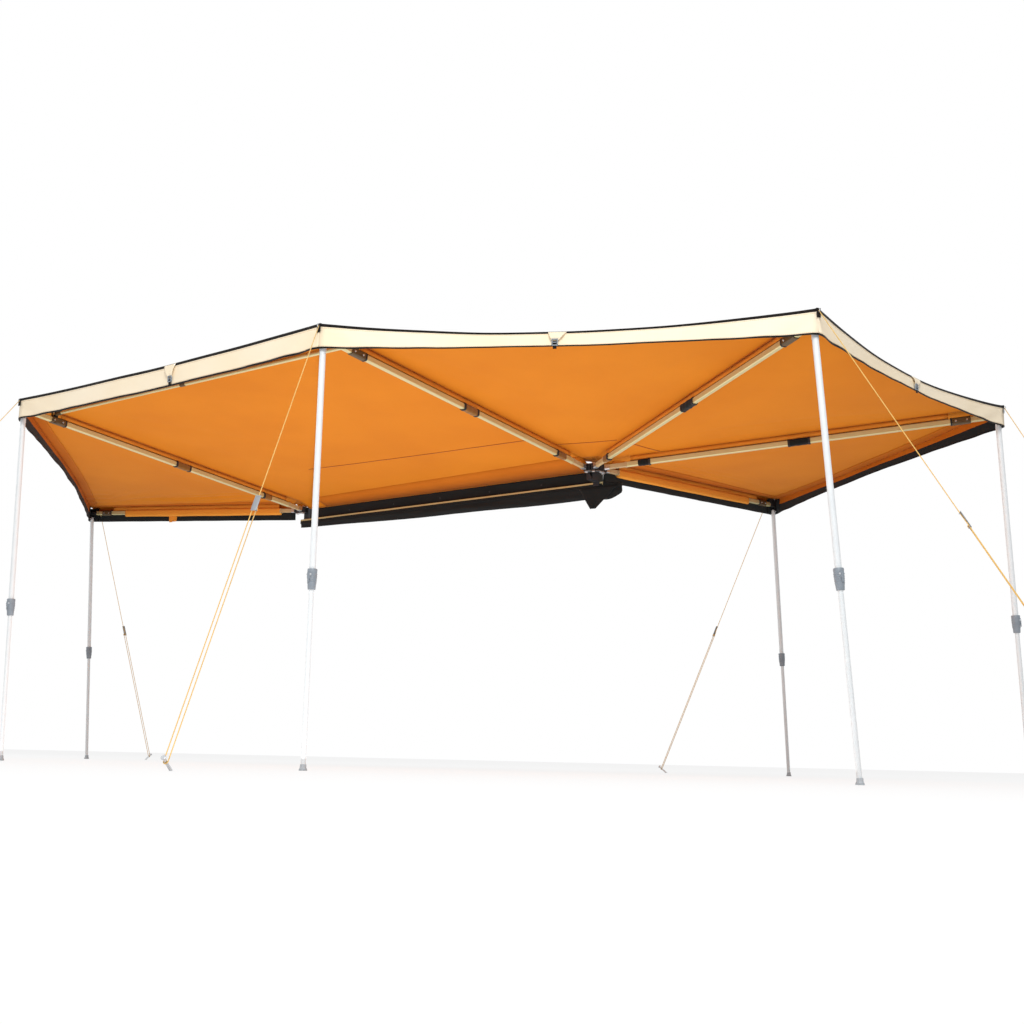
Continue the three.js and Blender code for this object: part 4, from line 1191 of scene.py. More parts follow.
def refined(name, node_name, material, slot, bevel):
    """A copy of a rigid solid with eased edges, in its place."""
    shape = bmesh.new()
    shape.from_mesh(frame["nodes"][node_name].data)
    bmesh.ops.remove_doubles(shape, verts=shape.verts, dist=2e-5)
    bmesh.ops.dissolve_limit(shape, angle_limit=math.radians(1), verts=shape.verts, edges=shape.edges)
    made = eased(from_bmesh(name, shape, material), bevel, 40, True)
    return dress(made, frame["nodes"][node_name]["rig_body"], slot, node_name)


def box_section(low_x, high_x, half_wide, half_tall, chamfer, wall=None):
    """A straight box-section shell along X, as a bmesh: a sleeve when it has a wall, otherwise solid."""
    shape = bmesh.new()

    def ring(x, inward, cut):
        wide, tall = half_wide - inward, half_tall - inward
        upper = [(wide, tall - cut), (wide - cut, tall), (cut - wide, tall), (-wide, tall - cut)]
        return [shape.verts.new((x, y, z)) for y, z in upper + [(-y, -z) for y, z in upper]]

    outer = [ring(x, 0, chamfer) for x in (low_x, high_x)]
    bridge(shape, *outer)
    if wall:
        inner = [ring(x, wall, chamfer * 0.6) for x in (low_x, high_x)]
        for pair in (inner, (outer[0], inner[0]), (outer[1], inner[1])):
            bridge(shape, *pair)
    else:
        for end in outer:
            shape.faces.new(end)
    return shape


def along_arm(arm, label, shape, material, slot, bevel=0.0006):
    """Puts a bmesh made along X on an arm, in its sloped frame, with eased edges."""
    made = from_bmesh(f"{arm.body}_{label}", shape, material, arm.sloped)
    return dress(eased(made, bevel, 30, False), arm.body, slot)


def arm_band(arm, label, ends, proud, chamfer, wall, material, slot, bevel=0.0006):
    """A band round an arm's tube. The tongue's shell is below the tube's faces, so it isn't proud."""
    shape = box_section(*ends, ARM_WIDTH / 2 + proud, ARM_TALL / 2 + proud, chamfer, wall)
    along_arm(arm, label, shape, material, slot, bevel)


def squareness(c, n, power):
    """How far a circle's point moves out to lie on a square with round corners."""
    return 1 / max(abs(c) ** power + abs(n) ** power, 1e-9) ** (1 / power)


def wrapped_sleeve(arm, label, low_x, high_x, material, girth=0.0022, droop=0.0):
    """A sleeve of cloth round the tube: slack, with soft creases across it."""
    count = 90 if droop else 22
    rows = []
    for i in range(count + 1):
        share = i / count
        x = low_x + (high_x - low_x) * share
        swell = girth + 0.0014 * math.sin(share * math.pi) + 0.0007 * math.sin(share * 19 + arm.number)
        row = []
        for _, c, n in circle(28):
            square = squareness(c, n, 6)
            slack = swell + 0.0007 * noise.noise(Vector((x * 60, c * 2, n * 2 + arm.number)))
            y = ARM_WIDTH / 2 * c * square + c * slack
            z = ARM_TALL / 2 * n * square + n * slack + droop * min(n, 0)
            row.append(arm.sloped @ Vector((x, y, z)))
        rows.append(row)
    step = (high_x - low_x) / count
    made = skin(f"{arm.body}_{label}", rows, [material], lambda i, k: (k * 0.004, i * step), around=True)
    dress(made, arm.body, "bag_fabric")


def arm_web(arm):
    """The upright strip of cloth that laces the canopy to the top of its arm."""
    step = (arm.length - WEB_END - WEB_START) / WEB_STEPS
    rows = []
    for i in range(WEB_STEPS + 1):
        run = WEB_START + i * step
        sway = 0.0015 * math.sin(run * 23 + arm.number)
        heights = ((0, ARM_TALL / 2 - 0.0004), (sway, 0.031), (0, CANOPY_LIFT - 0.0003))
        rows.append([arm.spot(run, aside, lift) for aside, lift in heights])
    # The web's brighter orange is painted light, so that its shaded upright faces look as bright as the canopy.
    made = skin(f"{arm.body}_canopy_web", rows, [WEBBING_PAINTED_LIGHT], lambda i, k: (i * step, k * 0.016))
    dress(thickened(made, 0.0016), arm.body, "canvas")


def dressed_arm(arm):
    """An arm's tube, fittings, sleeves, rings, clamp and web."""
    number, label = arm.number, arm.body
    free = number in FREE_SIDE
    refined(f"{label}_box_tube", f"arm_tube_{number}", CHAMPAGNE, "champagne_aluminium", 0.0008)
    tip_material = RUBBER if free else BROWN_NYLON
    refined(f"{label}_end_fitting", f"arm_tip_{number}", tip_material, "champagne_aluminium", 0.0012)
    refined(f"{label}_knuckle", f"knuckle_{number}", DARK_COAT, "dark_steel", 0.0010)
    arm_band(arm, "tongue_shell", (0.026, 0.148), -0.0014, 0.0030, 0.0012, BUFF_NYLON, "bracket_plastic")
    arm_band(arm, "root_clevis", (0.024, 0.052), 0.0016, 0.0045, 0.0016, ZINC, "peg_steel")
    arm_band(arm, "end_collar", (0.145, 0.157), 0.0016, 0.0045, 0.0014, BUFF_NYLON, "bracket_plastic")
    if free:
        # The hem sleeve takes the brightened orange: painted light that offsets the shade it lies in.
        wrapped_sleeve(arm, "hem_sleeve", 0.160, arm.length - 0.42, WEBBING_PAINTED_LIGHT, 0.0030, 0.012)
    else:
        near = NEAR_SLEEVES[number]
        wrapped_sleeve(arm, "near_sleeve", *near, BLACK_CLOTH if number == 5 else SLEEVE)
        wrapped_sleeve(arm, "mid_sleeve", *MID_SLEEVE, BLACK_CLOTH if number in (4, 5) else SLEEVE, 0.0032)
        for place, x in (("near", near[1]), ("mid_inner", MID_SLEEVE[0]), ("mid_outer", MID_SLEEVE[1])):
            ends = x - RING_HALF, x + RING_HALF
            arm_band(arm, f"{place}_ring", ends, 0.0052, 0.007, 0.0048, RUBBER, "lock_plastic")
        # A dark brown strip along the top of the tube: painted shade, a dark thing that stands for the shadow line
        # between the arm and the canopy.
        shade_line = box_section(WEB_START, (arm.length - WEB_END) / math.cos(arm.slope), 0.0075, 0.0024, 0.0012)
        shade_line.transform(Matrix.Translation((0, 0, ARM_TALL / 2 + 0.0022)))
        along_arm(arm, "keder_strip", shade_line, BROWN_NYLON, "champagne_aluminium")
    end = arm.length / math.cos(arm.slope) - (0.208 if number in (2, 3) else 0.165)
    start = end - CLAMP_LONG
    clamp = CLAMP_PROUD, 0.006, 0.0040, BROWN_NYLON, "bracket_plastic", 0.0012
    arm_band(arm, "outer_clamp", (start, end), *clamp)
    arm_band(arm, "outer_ring", (start - 0.010, start - 0.001), 0.005, 0.007, 0.0048, RUBBER, "lock_plastic")
    reach = ARM_WIDTH / 2 + CLAMP_PROUD
    places = [place for x in (start + 0.018, end - 0.018) for place in both_sides(arm.sloped, x, reach)]
    bolts(f"{label}_outer_clamp_bolts", places, (0.0042, 0.0026, 0.0052), label)
    arm_web(arm)


# Poles.
LOCK_RIBS = 5


def lock_profile(bottom, step, top):
    """The twist lock from its foot over its ribs to its top, then back down inside."""
    profile = [(LOCK_FOOT_RADIUS - 0.001, bottom), (LOCK_FOOT_RADIUS, bottom + 0.0015)]
    profile += [(LOCK_FOOT_RADIUS + 0.0012, bottom + 0.018)]
    low = LOCK_FOOT_RADIUS + 0.0032
    for share in (k / LOCK_RIBS for k in range(LOCK_RIBS)):
        z = step - 0.006 + (top - 0.012 - step) * share
        reach = low + (LOCK_TOP_RADIUS - low) * min(1, share * 1.6)
        profile += [(reach - 0.0012, z), (reach, z + 0.0012), (reach, z + 0.0058), (reach - 0.0012, z + 0.0070)]
    profile += [(LOCK_TOP_RADIUS, top - 0.004), (LOCK_TOP_RADIUS - 0.0015, top), (UPPER_RADIUS + 0.0006, top)]
    profile += [(UPPER_RADIUS + 0.0006, step), (LOWER_RADIUS + 0.0006, step), (LOWER_RADIUS + 0.0006, bottom)]
    return profile + profile[:1]


def support_pole(arm):
    """A telescopic pole hung on its cross pin: upper tube, lower tube with foot, and the lock."""
    number, body = arm.number, f"pole_{arm.number}"
    place, length = pole_frame(arm)
    bottom = LOCK_HEIGHT - length
    step, top = bottom + LOCK_STEP, bottom + LOCK_TALL

    upper = [(0, step + 0.0005), (UPPER_RADIUS, step + 0.0005), (UPPER_RADIUS, -0.002)]
    upper += [(UPPER_RADIUS * 0.98, 0.004), (UPPER_RADIUS * 0.86, UPPER_TOP * 0.62)]
    upper += [(UPPER_RADIUS * 0.55, UPPER_TOP * 0.90), (0, UPPER_TOP)]
    made = lathed(f"{body}_upper_tube", upper, 40, WHITE_COAT, place)
    dress(made, body, "white_pole", f"pole_upper_{number}")
    cap = [(UPPER_RADIUS + 0.0001, -0.030), (UPPER_RADIUS + 0.0011, -0.0295), (UPPER_RADIUS + 0.0011, -0.004)]
    cap += [(UPPER_RADIUS + 0.0003, -0.003), (UPPER_RADIUS + 0.0001, -0.003), (UPPER_RADIUS + 0.0001, -0.030)]
    dress(lathed(f"{body}_top_collar", cap, 40, WHITE_COAT, place), body, "white_pole")

    foot, head = 0.006 - length, step + 0.02
    lower = [(0, foot), (LOWER_RADIUS, foot), (LOWER_RADIUS, head), (0, head)]
    made = lathed(f"{body}_lower_tube", lower, 36, WHITE_COAT, place)
    dress(made, f"{body}_lower", "white_pole", f"pole_lower_{number}")
    pad = [(0, 0), (FOOT_RADIUS - 0.0015, 0), (FOOT_RADIUS, 0.0012), (FOOT_RADIUS, 0.0035)]
    pad += [(FOOT_RADIUS - 0.0012, 0.0045), (FOOT_RADIUS - 0.0006, 0.0075), (FOOT_RADIUS - 0.003, 0.0105)]
    pad += [(LOWER_RADIUS + 0.0028, FOOT_TALL), (LOWER_RADIUS + 0.0022, FOOT_TALL + 0.012)]
    pad += [(LOWER_RADIUS, FOOT_TALL + 0.0135), (0, FOOT_TALL + 0.0135)]
    ground = place @ Vector((0, 0, -length))
    made = lathed(f"{body}_foot_pad", pad, 40, PALE_NYLON, Matrix.Translation((ground.x, ground.y, 0)))
    dress(made, f"{body}_lower", "lock_plastic")

    made = lathed(f"{body}_twist_lock", lock_profile(bottom, step, top), 48, GREY_NYLON, place)
    dress(made, f"{body}_lock", "lock_plastic", f"pole_lock_{number}")
    # The clamp's ear, with its bolt and its cam lever.
    middle, reach = (step + top) / 2, LOCK_TOP_RADIUS
    lever = [
        ((reach - 0.004, -0.009, middle - 0.012), (reach + 0.0012, 0.009, middle + 0.014), 0.0010),
        ((reach - 0.001, -0.0045, middle - 0.030), (reach + 0.0030, 0.0045, middle + 0.010), 0.0012),
    ]
    dress(blocks(f"{body}_lock_lever", lever, GREY_NYLON, place), f"{body}_lock", "lock_plastic")
    ear = both_sides(place, reach - 0.0025, 0.009, middle + 0.004)
    bolts(f"{body}_lock_bolts", ear, (0.0042, 0.0026, 0.0048), f"{body}_lock")
    # Washers and caps over the cross pin's ends, outside the fitting's cheeks.
    pin_ends = both_sides(place, 0, UPPER_RADIUS + 0.0034)
    bolts(f"{body}_hinge_bolts", pin_ends, (0.0056, 0.0030, 0.0066), arm.body)


for arm in arms.values():
    dressed_arm(arm)
    support_pole(arm)


# Rail, hubs and brackets.
refined("base_rail_extrusion", "base_rail", CHAMPAGNE, "champagne_aluminium", 0.0010)
refined("hub_rear_casting", "hub_rear", DARK_COAT, "dark_steel", 0.0014)
refined("hub_front_casting", "hub_front", DARK_COAT, "dark_steel", 0.0014)
for node_name in sorted(frame["nodes"]):
    if "bracket" in node_name:
        refined(f"{node_name}_cover", node_name, RUBBER, "bracket_plastic", 0.0012)
refined("spreader_rod", "spreader", CHAMPAGNE, "champagne_aluminium", 0.0008)

# The body that carries each arm's pin.
PIN_CARRIER = {1: "arm_2", 2: "frame", 3: "frame", 4: "arm_3", 5: "arm_4", 6: "arm_5"}
PLATE_TALL, PLATE_RADIUS = 0.0011, BOSS_RADIUS - 0.0006


def ear_plates(name, body, first, second):
    """Two bright pressed plates that tie a pair of pins above and below."""
    way = (second - first).to_2d()
    rim = [(c * PLATE_RADIUS, n * PLATE_RADIUS * 0.98) for _, c, n in circle(32)]
    rim = [(x + (way.length if x > 0 else 0), y) for x, y in rim]
    shape = bmesh.new()
    for side in (-1, 1):
        low = side * (PIN_HEAD_LEVEL + 0.0002)
        rings = [[shape.verts.new((*spot, z)) for spot in rim] for z in (low, low + side * PLATE_TALL)]
        bridge(shape, *rings)
        for ring in rings:
            shape.faces.new(ring)
    place = Matrix.Translation((first.x, first.y, HUB_HEIGHT)) @ Matrix.Rotation(math.atan2(way.y, way.x), 4, "Z")
    dress(from_bmesh(name, shape, ZINC, place), body, "peg_steel")


for number, carrier in PIN_CARRIER.items():
    pin = arms[number].pin
    heads = [
        Matrix.Translation((pin.x, pin.y, HUB_HEIGHT + side * PIN_HEAD_LEVEL)) @ Matrix.Rotation(flip, 4, "X")
        for side, flip in ((-1, math.pi), (1, 0))
    ]
    bolts(f"hinge_{number}_bolt_heads", heads, (0.0098, 0.0062, 0.0125), carrier)
    if carrier != "frame":
        ear_plates(f"hinge_{number}_plates", carrier, arms[int(carrier[-1])].pin, pin)


# Spreader fittings.
SPREADER_JOIN, SOCKET_START, SOCKET_END = 0.52, 0.016, 0.062
STRAP_HALF, STRAP_THICK = 0.0125, 0.00182


def spreader_end(arm):
    """Where the spreader's middle line starts or ends over an arm."""
    run = arm.length - SPREADER_SETBACK
    spot = arm.spot(run - SPREADER_LIFT * math.sin(arm.slope))
    spot.z = HUB_HEIGHT + run * math.tan(arm.slope) + SPREADER_LIFT * math.cos(arm.slope)
    return spot


def spreader_fittings():
    """An outer tube over the rod's first part, its collar, end sockets and the swivel's nut."""
    first, last = spreader_end(arms[3]), spreader_end(arms[2])
    way, long = (last - first).normalized(), (last - first).length
    side = UP.cross(way).normalized()
    place = Matrix.Translation(first) @ basis(way, side, way.cross(side)) @ Matrix.Rotation(math.pi / 2, 4, "Y")
    join, inner = long * SPREADER_JOIN, SPREADER_RADIUS + 0.0001
    for label, low, high, proud, material, slot in (
        ("outer_tube", 0.05, join, 0.0014, CHAMPAGNE, "champagne_aluminium"),
        ("joint_collar", join - 0.018, join + 0.020, 0.0030, BROWN_NYLON, "bracket_plastic"),
        ("near_socket", SOCKET_START, SOCKET_END, 0.0032, BROWN_NYLON, "bracket_plastic"),
        ("far_socket", long - SOCKET_END, long - SOCKET_START, 0.0032, BROWN_NYLON, "bracket_plastic"),
    ):
        outer = SPREADER_RADIUS + proud
        ring = [(inner, low), (outer - 0.0006, low), (outer, low + 0.0008)]
        ring += [(outer, high - 0.0008), (outer - 0.0006, high), (inner, high), (inner, low)]
        dress(lathed(f"spreader_{label}", ring, 28, material, place), "spreader_bar", slot)
    top = Matrix.Translation(first + UP * (SPREADER_RADIUS + 0.0006))
    bolts("spreader_swivel_nut", [top], (0.0072, 0.0026, 0.0092), "spreader_bar")


def spreader_strap(arm):
    """A strap that ties the far end down to its arm's tube."""
    run = (arm.length - SPREADER_SETBACK) / math.cos(arm.slope)
    half, low, top = ARM_WIDTH / 2 + 0.0012, -ARM_TALL / 2 - 0.0012, SPREADER_LIFT + SPREADER_RADIUS + 0.0012
    outline = [(half, low), (half + 0.0004, 0.0), (LUG_RADIUS + 0.002, SPREADER_LIFT), (LUG_RADIUS, top)]
    outline = [Vector(spot) for spot in outline + [(-y, z) for y, z in outline[::-1]]]
    middle = Vector((0, (low + top) / 2))
    outside = [spot + (spot - middle).normalized() * STRAP_THICK for spot in outline]
    shape = bmesh.new()
    loops = [
        [shape.verts.new((x, *spot)) for spot in line]
        for x in (run - STRAP_HALF, run + STRAP_HALF)
        for line in (outline, outside)
    ]
    for a, b in ((0, 2), (1, 3), (0, 1), (2, 3)):
        bridge(shape, loops[a], loops[b])
    dress(from_bmesh("spreader_tie_strap", shape, TAPE, arm.sloped), "spreader_bar", "canvas")


spreader_fittings()
spreader_strap(arms[2])


# The emptied bag under the rail.
BAG_STATIONS, END_RINGS = 150, 14


def storage_bag():
    """The bag's cloth hangs slack: deepest at its rear end, pinched along its zip, creased across."""
    rows = []
    for i in range(BAG_STATIONS + 1):
        share = i / BAG_STATIONS
        x = RAIL_REAR + share * RAIL_LONG
        tall = BAG_TALL_REAR + share * (BAG_TALL_FRONT - BAG_TALL_REAR) + BAG_SAG * math.sin(share * math.pi)
        end = min(1, share * 60, (1 - share) * 60)
        row = []
        for _, c, n in circle(40):
            square = squareness(c, n, 4)
            down = 0.5 - 0.5 * n * square
            wide = BAG_WIDTH / 2 * (1 - 0.42 * down * down) * (1 - 0.10 * math.sin(down * 9 + x * 2))
            fold = noise.noise(Vector((x * 3.2, down * 2.4, 1.7))) * 0.0045
            fold += noise.noise(Vector((x * 13 + down * 3, down * 5, 8.2))) * 0.0022
            y = BAG_MIDDLE + (wide * c * square + fold * (0.4 + down)) * (0.55 + 0.45 * end)
            y = min(RAIL_OUTBOARD + 0.006, max(RAIL_OUTBOARD - BAG_WIDTH - 0.001, y))
            z = BAG_TOP - tall * down * (0.96 + 0.04 * math.sin(x * 6)) + (1 - end) * 0.002 * (down - 0.5)
            row.append((x, y, min(z, BAG_TOP)))
        rows.append(row)
    step = RAIL_LONG / BAG_STATIONS
    made = skin("storage_bag_cloth", rows, [BLACK_CLOTH], lambda i, k: (i * step, k * 0.005), around=True)
    dress(made, "frame", "bag_fabric", "storage_bag")


def bag_end_patch():
    """The slack gathered end of the bag's cover behind the rear hub."""
    rows = []
    for i in range(END_RINGS + 1):
        share = i / END_RINGS
        x = RAIL_REAR + 0.004 - 0.125 * share
        tall = BAG_TALL_REAR + 0.030 - 0.050 * share * share
        wide = BAG_WIDTH * (0.98 - 0.55 * share)
        row = []
        for angle, c, n in circle(28):
            square = squareness(c, n, 4)
            ruck = 0.0022 * math.sin(angle * 6 + share * 5) * share
            z = RAIL_TOP + 0.002 - tall * 0.5 + (tall / 2 + ruck) * n * square - 0.018 * share
            row.append((x, BAG_MIDDLE + (wide / 2 + ruck) * c * square, z))
        rows.append(row)
    made = skin("bag_end_cover", rows, [BLACK_CLOTH], lambda i, k: (i * 0.006, k * 0.006), around=True)
    dress(made, "frame", "bag_fabric")


def black_sheet(name, rows, thickness, slot):
    """An upright sheet of black cloth by the rail, from rows of points."""
    made = skin(name, rows, [BLACK_CLOTH], lambda i, k: (rows[i][k][0], rows[i][k][2]))
    dress(thickened(made, thickness), "frame", slot)


def mouth_flap():
    """A slack flap of the bag's mouth: cloth that hangs from its upper edge to a point."""
    start, long = RAIL_REAR - 0.105, 0.265
    aim = start + long * 0.66
    rows = []
    for down in (i / 12 for i in range(13)):
        row = []
        for across in (k / 14 for k in range(15)):
            low = start + long * across
            y = RAIL_OUTBOARD + 0.0025 + 0.0024 * math.sin(across * 7 + down * 3) * down
            row.append((low + (aim - low) * down * 0.86, y, BAG_TOP - 0.010 - 0.125 * down))
        rows.append(row)
    black_sheet("bag_mouth_flap", rows, 0.0014, "bag_fabric")


def upright_strip(name, top_at, foot_z, belly_deep, slot):
    """A strip of cloth that stands below a line along the rail, with a slack belly."""
    rows = []
    for s in (i / 120 for i in range(121)):
        top = top_at(s)
        belly = belly_deep * math.sin(s * 40 + 2 * drift(s, 0, 0.1, 3.3))
        drop = foot_z - top.z
        rows.append([top + Vector((0, belly * math.sin(k / 6 * math.pi), drop * k / 6)) for k in range(7)])
    black_sheet(name, rows, 0.0016, slot)


def rim_at(s):
    """The upper edge of the bag's rim, which laps over the foot of the rail's face."""
    x = RAIL_REAR + 0.002 + s * (RAIL_LONG - 0.004)
    return Vector((x, RAIL_OUTBOARD + 0.0012, RAIL_BOTTOM + 0.0105 + 0.0012 * drift(x, 0, 0.3, 6.1)))


def curtain_at(s):
    """The middle panel's edge along the rail."""
    return panels["main"].at(s, 0) - UP * 0.0005


storage_bag()
bag_end_patch()
mouth_flap()
# The keder rope that runs in the rail's groove along the bag's top edge.
rim_line = [RAIL_REAR + 0.004 + k * (RAIL_LONG - 0.008) / 60 for k in range(61)]
rim_line = [(x, RAIL_OUTBOARD - 0.0005, BAG_TOP - 0.004) for x in rim_line]
dress(tube("bag_rim_piping", rim_line, 0.0032, 10, TAPE), "frame", "bag_fabric")
upright_strip("canopy_rail_curtain", curtain_at, RAIL_TOP + 0.0004, 0.003, "canvas")
upright_strip("bag_rim_band", rim_at, RAIL_BOTTOM - 0.008, 0.0003, "bag_fabric")


# Hub hoods, strap flaps, corner tabs and patches.
HOOD_EDGE, HOOD_REACH, HOOD_LIFT, HOOD_TURN_DOWN = RAIL_LINE - 0.008, 0.080, 0.0056, 0.030
HOOD_RINGS, HOOD_SIDES = 8, 48


def hub_hood(name, pins, open_x):
    """The patch that closes the canopy over a hub, turned down at the rail's side from open_x on."""
    middle = sum(pins, Vector()) / len(pins)
    slope = math.tan(arms[3].slope)

    def at(share, angle, way):
        spread = max((pin - middle).dot(way) for pin in pins)
        spot = middle + way * (spread + HOOD_REACH) * share
        past = max(0, HOOD_EDGE - spot.y) if spot.x > open_x else 0
        spot.y += past
        rise = min((spot - pin).to_2d().length for pin in pins) * slope - min(past, HOOD_TURN_DOWN)
        ruck = 0.0012 * math.sin(angle * 9) * share * (1 - share) * 4
        spot.z = HUB_HEIGHT + CANOPY_LIFT + SHEET + HOOD_LIFT + rise + ruck
        return spot

    points = [at(0, 0, UP)]
    for i in range(1, HOOD_RINGS + 1):
        points += [at(i / HOOD_RINGS, angle, Vector((c, n, 0))) for angle, c, n in circle(HOOD_SIDES)]
    faces = []
    for k in range(HOOD_SIDES):
        n = (k + 1) % HOOD_SIDES
        faces.append((0, 1 + n, 1 + k))
        for low in range(1, (HOOD_RINGS - 1) * HOOD_SIDES, HOOD_SIDES):
            faces.append((low + k, low + n, low + HOOD_SIDES + n, low + HOOD_SIDES + k))
    uvs = [(points[corner].x, points[corner].y) for face in faces for corner in face]
    made = facing(new_piece(name, points, faces, [IVORY, ORANGE], uvs=uvs), UP)
    dress(thickened(made, 0.0014, -1), "frame", "canvas")


hub_hood("hub_hood_rear", [arms[n].pin for n in (3, 4, 5, 6)], REAR_PIN.x - 0.040)
hub_hood("hub_hood_front", [arms[n].pin for n in (1, 2)], FRONT_PIN.x - 1)

# A buckle's five bars, and the strap's tail behind it.
BUCKLE = [
    ((-0.014, -0.006, 0), (-0.0095, 0.026, 0.0065), 0.0014),
    ((0.0095, -0.006, 0), (0.014, 0.026, 0.0065), 0.0014),
    ((-0.014, -0.006, 0), (0.014, -0.001, 0.0065), 0.0014),
    ((-0.014, 0.009, 0.001), (0.014, 0.013, 0.0075), 0.0014),
    ((-0.014, 0.021, 0), (0.014, 0.026, 0.0065), 0.0014),
]
STRAP_TAIL = [((-0.0085, 0.004, 0.002), (0.0085, 0.040, 0.0036), 0.0006)]


def strap_flap(panel, centre_share):
    """A cream flap that hangs from the top edge and narrows to a grey buckle."""
    rows = []
    for down in (i / 12 for i in range(13)):
        half = 0.043 - 0.026 * down
        row = []
        for over in (k / 4 - 1 for k in range(9)):
            s = centre_share + (half * over - 0.010 * down) / panel.span
            lift = 0.0020 + 0.010 * math.sin(down * math.pi * 0.9) + 0.003 * over * over * down
            row.append(panel.valance(s, 0.01 + 0.60 * down) + panel.outward(s) * lift)
        rows.append(row)
    made = skin(f"{panel.name}_strap_flap", rows, [IVORY], lambda i, k: (k * 0.008, i * 0.006))
    panel.hang(thickened(made, 0.0016), "canvas", panel.edge_joint)

    centre = centre_share - 0.011 / panel.span
    out = panel.outward(centre)
    way = (panel.at(centre + 0.01, 1) - panel.at(centre, 1)).normalized()
    top = panel.valance(centre, 0.60) + out * 0.006
    down = (panel.valance(centre, 0.86) + out * 0.005 - top).normalized()
    over = way.cross(down).normalized()
    place = Matrix.Translation(top) @ basis(way, down, over if over.dot(out) > 0 else -over)
    for label, boxes, material, slot in (
        ("buckle", BUCKLE, GREY_NYLON, "lock_plastic"),
        ("tail", STRAP_TAIL, TAPE, "canvas"),
    ):
        panel.hang(blocks(f"{panel.name}_strap_{label}", boxes, material, place), slot, panel.edge_joint)


strap_flap(panels["main"], 0.46)
strap_flap(panels["rear_3"], 0.49)
strap_flap(panels["rear_4"], 0.53)


def corner_loop(number):
    """The webbing tab and steel ring at a canopy corner that the guy rope leaves from."""
    arm = arms[number]
    centre = rope_ends(number)[0] + arm.out * 0.0012 - UP * 0.001
    dress(rings_piece(f"corner_ring_{number}", [(centre, arm.left, 0.0075, 0.0016)]), arm.body, "peg_steel")
    boxes = [
        ((-0.034, -0.010, -0.0004), (0.0035, 0.010, 0.0012), 0.0005),
        ((0.0016, -0.010, -0.040), (0.0032, 0.010, 0.0012), 0.0005),
    ]
    place = arm.level_frame((arm.corner.x, arm.corner.y, CORNER_HEIGHT + 0.0006))
    dress(blocks(f"corner_tab_{number}", boxes, TAPE, place), arm.body, "canvas")


def beside_arm(arm, name, boxes, material, place):
    """Blocks on the free side of an arm, in cloth."""
    made = blocks(name, boxes, material, place @ Matrix.Diagonal((1, FREE_SIDE[arm.number], 1, 1)))
    dress(made, arm.body, "canvas")


def corner_patch(number, panel):
    """The black patch inside the corner where a free arm's skirt meets the valance."""
    arm = arms[number]
    boxes = [
        ((-0.085, 0.008, -0.066), (-0.0015, 0.0205, 0.036), 0.004),
        ((-0.0050, -0.004, -0.066), (-0.0015, 0.0205, 0.038), 0.001),
    ]
    place = arm.level_frame((arm.corner.x, arm.corner.y, CORNER_HEIGHT - CANOPY_LIFT - SHEET))
    beside_arm(arm, f"corner_patch_{number}", boxes, BLACK_CLOTH, place)
    rows = []
    for depth in (0.08 + 0.88 * i / 5 for i in range(6)):
        shares = [(0.002 + 0.010 * k) / panel.span for k in range(9)]
        if panel.second is arm:
            shares = [1 - share for share in shares]
        rows.append([panel.valance(s, depth) - panel.outward(s) * 0.0038 for s in shares])
    gusset = skin(f"corner_gusset_{number}", rows, [BLACK_CLOTH], lambda i, k: (k * 0.01, i * 0.02))
    panel.hang(thickened(gusset, 0.0014), "canvas", panel.joint)


def skirt_tab(number, run):
    """A small doubled tab on the inside of a free arm's skirt."""
    arm = arms[number]
    boxes = [
        ((-0.040, 0.0160, -0.022), (0.040, 0.0205, 0.020), 0.0018),
        ((-0.036, 0.0160, -0.034), (-0.004, 0.0218, -0.016), 0.0025),
        ((0.004, 0.0160, -0.036), (0.036, 0.0222, -0.018), 0.0025),
    ]
    beside_arm(arm, f"skirt_tab_{number}", boxes, WEBBING_PAINTED_LIGHT, arm.level_frame(arm.spot(run, rise=-0.036)))


for number in arms:
    if number not in ROPE_INSETS:
        corner_loop(number)
corner_patch(1, panels["front"])
corner_patch(6, panels["rear_5"])
skirt_tab(1, 1.25)


# What repeats: studs and stitches.
def repeat_tree(name, unit, material):
    """Geometry Nodes: sets a unit mesh along a line of points, each turned by its own normal."""
    tree = bpy.data.node_groups.new(name, "GeometryNodeTree")
    sockets = tree.interface
    sockets.new_socket("Geometry", in_out="INPUT", socket_type="NodeSocketGeometry")
    for label, value in (("Spacing", 0.15), ("Size", 1.0)):
        sockets.new_socket(label, in_out="INPUT", socket_type="NodeSocketFloat").default_value = value
    sockets.new_socket("Geometry", in_out="OUTPUT", socket_type="NodeSocketGeometry")
    entry = node(tree, "NodeGroupInput").outputs
    curve = node(tree, "GeometryNodeMeshToCurve", None, {"Mesh": entry["Geometry"]}).outputs["Curve"]
    settings = {"Curve": curve, "Length": entry["Spacing"]}
    spaced = node(tree, "GeometryNodeResampleCurve", {"mode": "LENGTH"}, settings)
    tangent = node(tree, "GeometryNodeInputTangent").outputs[0]
    lift = node(tree, "GeometryNodeInputNamedAttribute", {"data_type": "FLOAT_VECTOR", "Name": "facing"})
    along = node(tree, "FunctionNodeAlignRotationToVector", {"axis": "X"}, {"Vector": tangent})
    upright = node(
        tree,
        "FunctionNodeAlignRotationToVector",
        {"axis": "Z", "pivot_axis": "X"},
        {"Rotation": along.outputs[0], "Vector": lift.outputs[0]},
    )
    source = node(tree, "GeometryNodeObjectInfo", {"Object": unit})
    links = {"Points": spaced.outputs[0], "Instance": source.outputs["Geometry"]}
    links |= {"Rotation": upright.outputs[0], "Scale": entry["Size"]}
    placed = node(tree, "GeometryNodeInstanceOnPoints", None, links)
    real = node(tree, "GeometryNodeRealizeInstances", None, {"Geometry": placed.outputs[0]})
    finish = node(tree, "GeometryNodeSetMaterial", {"Material": material}, {"Geometry": real.outputs[0]})
    tree.links.new(finish.outputs[0], node(tree, "NodeGroupOutput").inputs[0])
    return tree


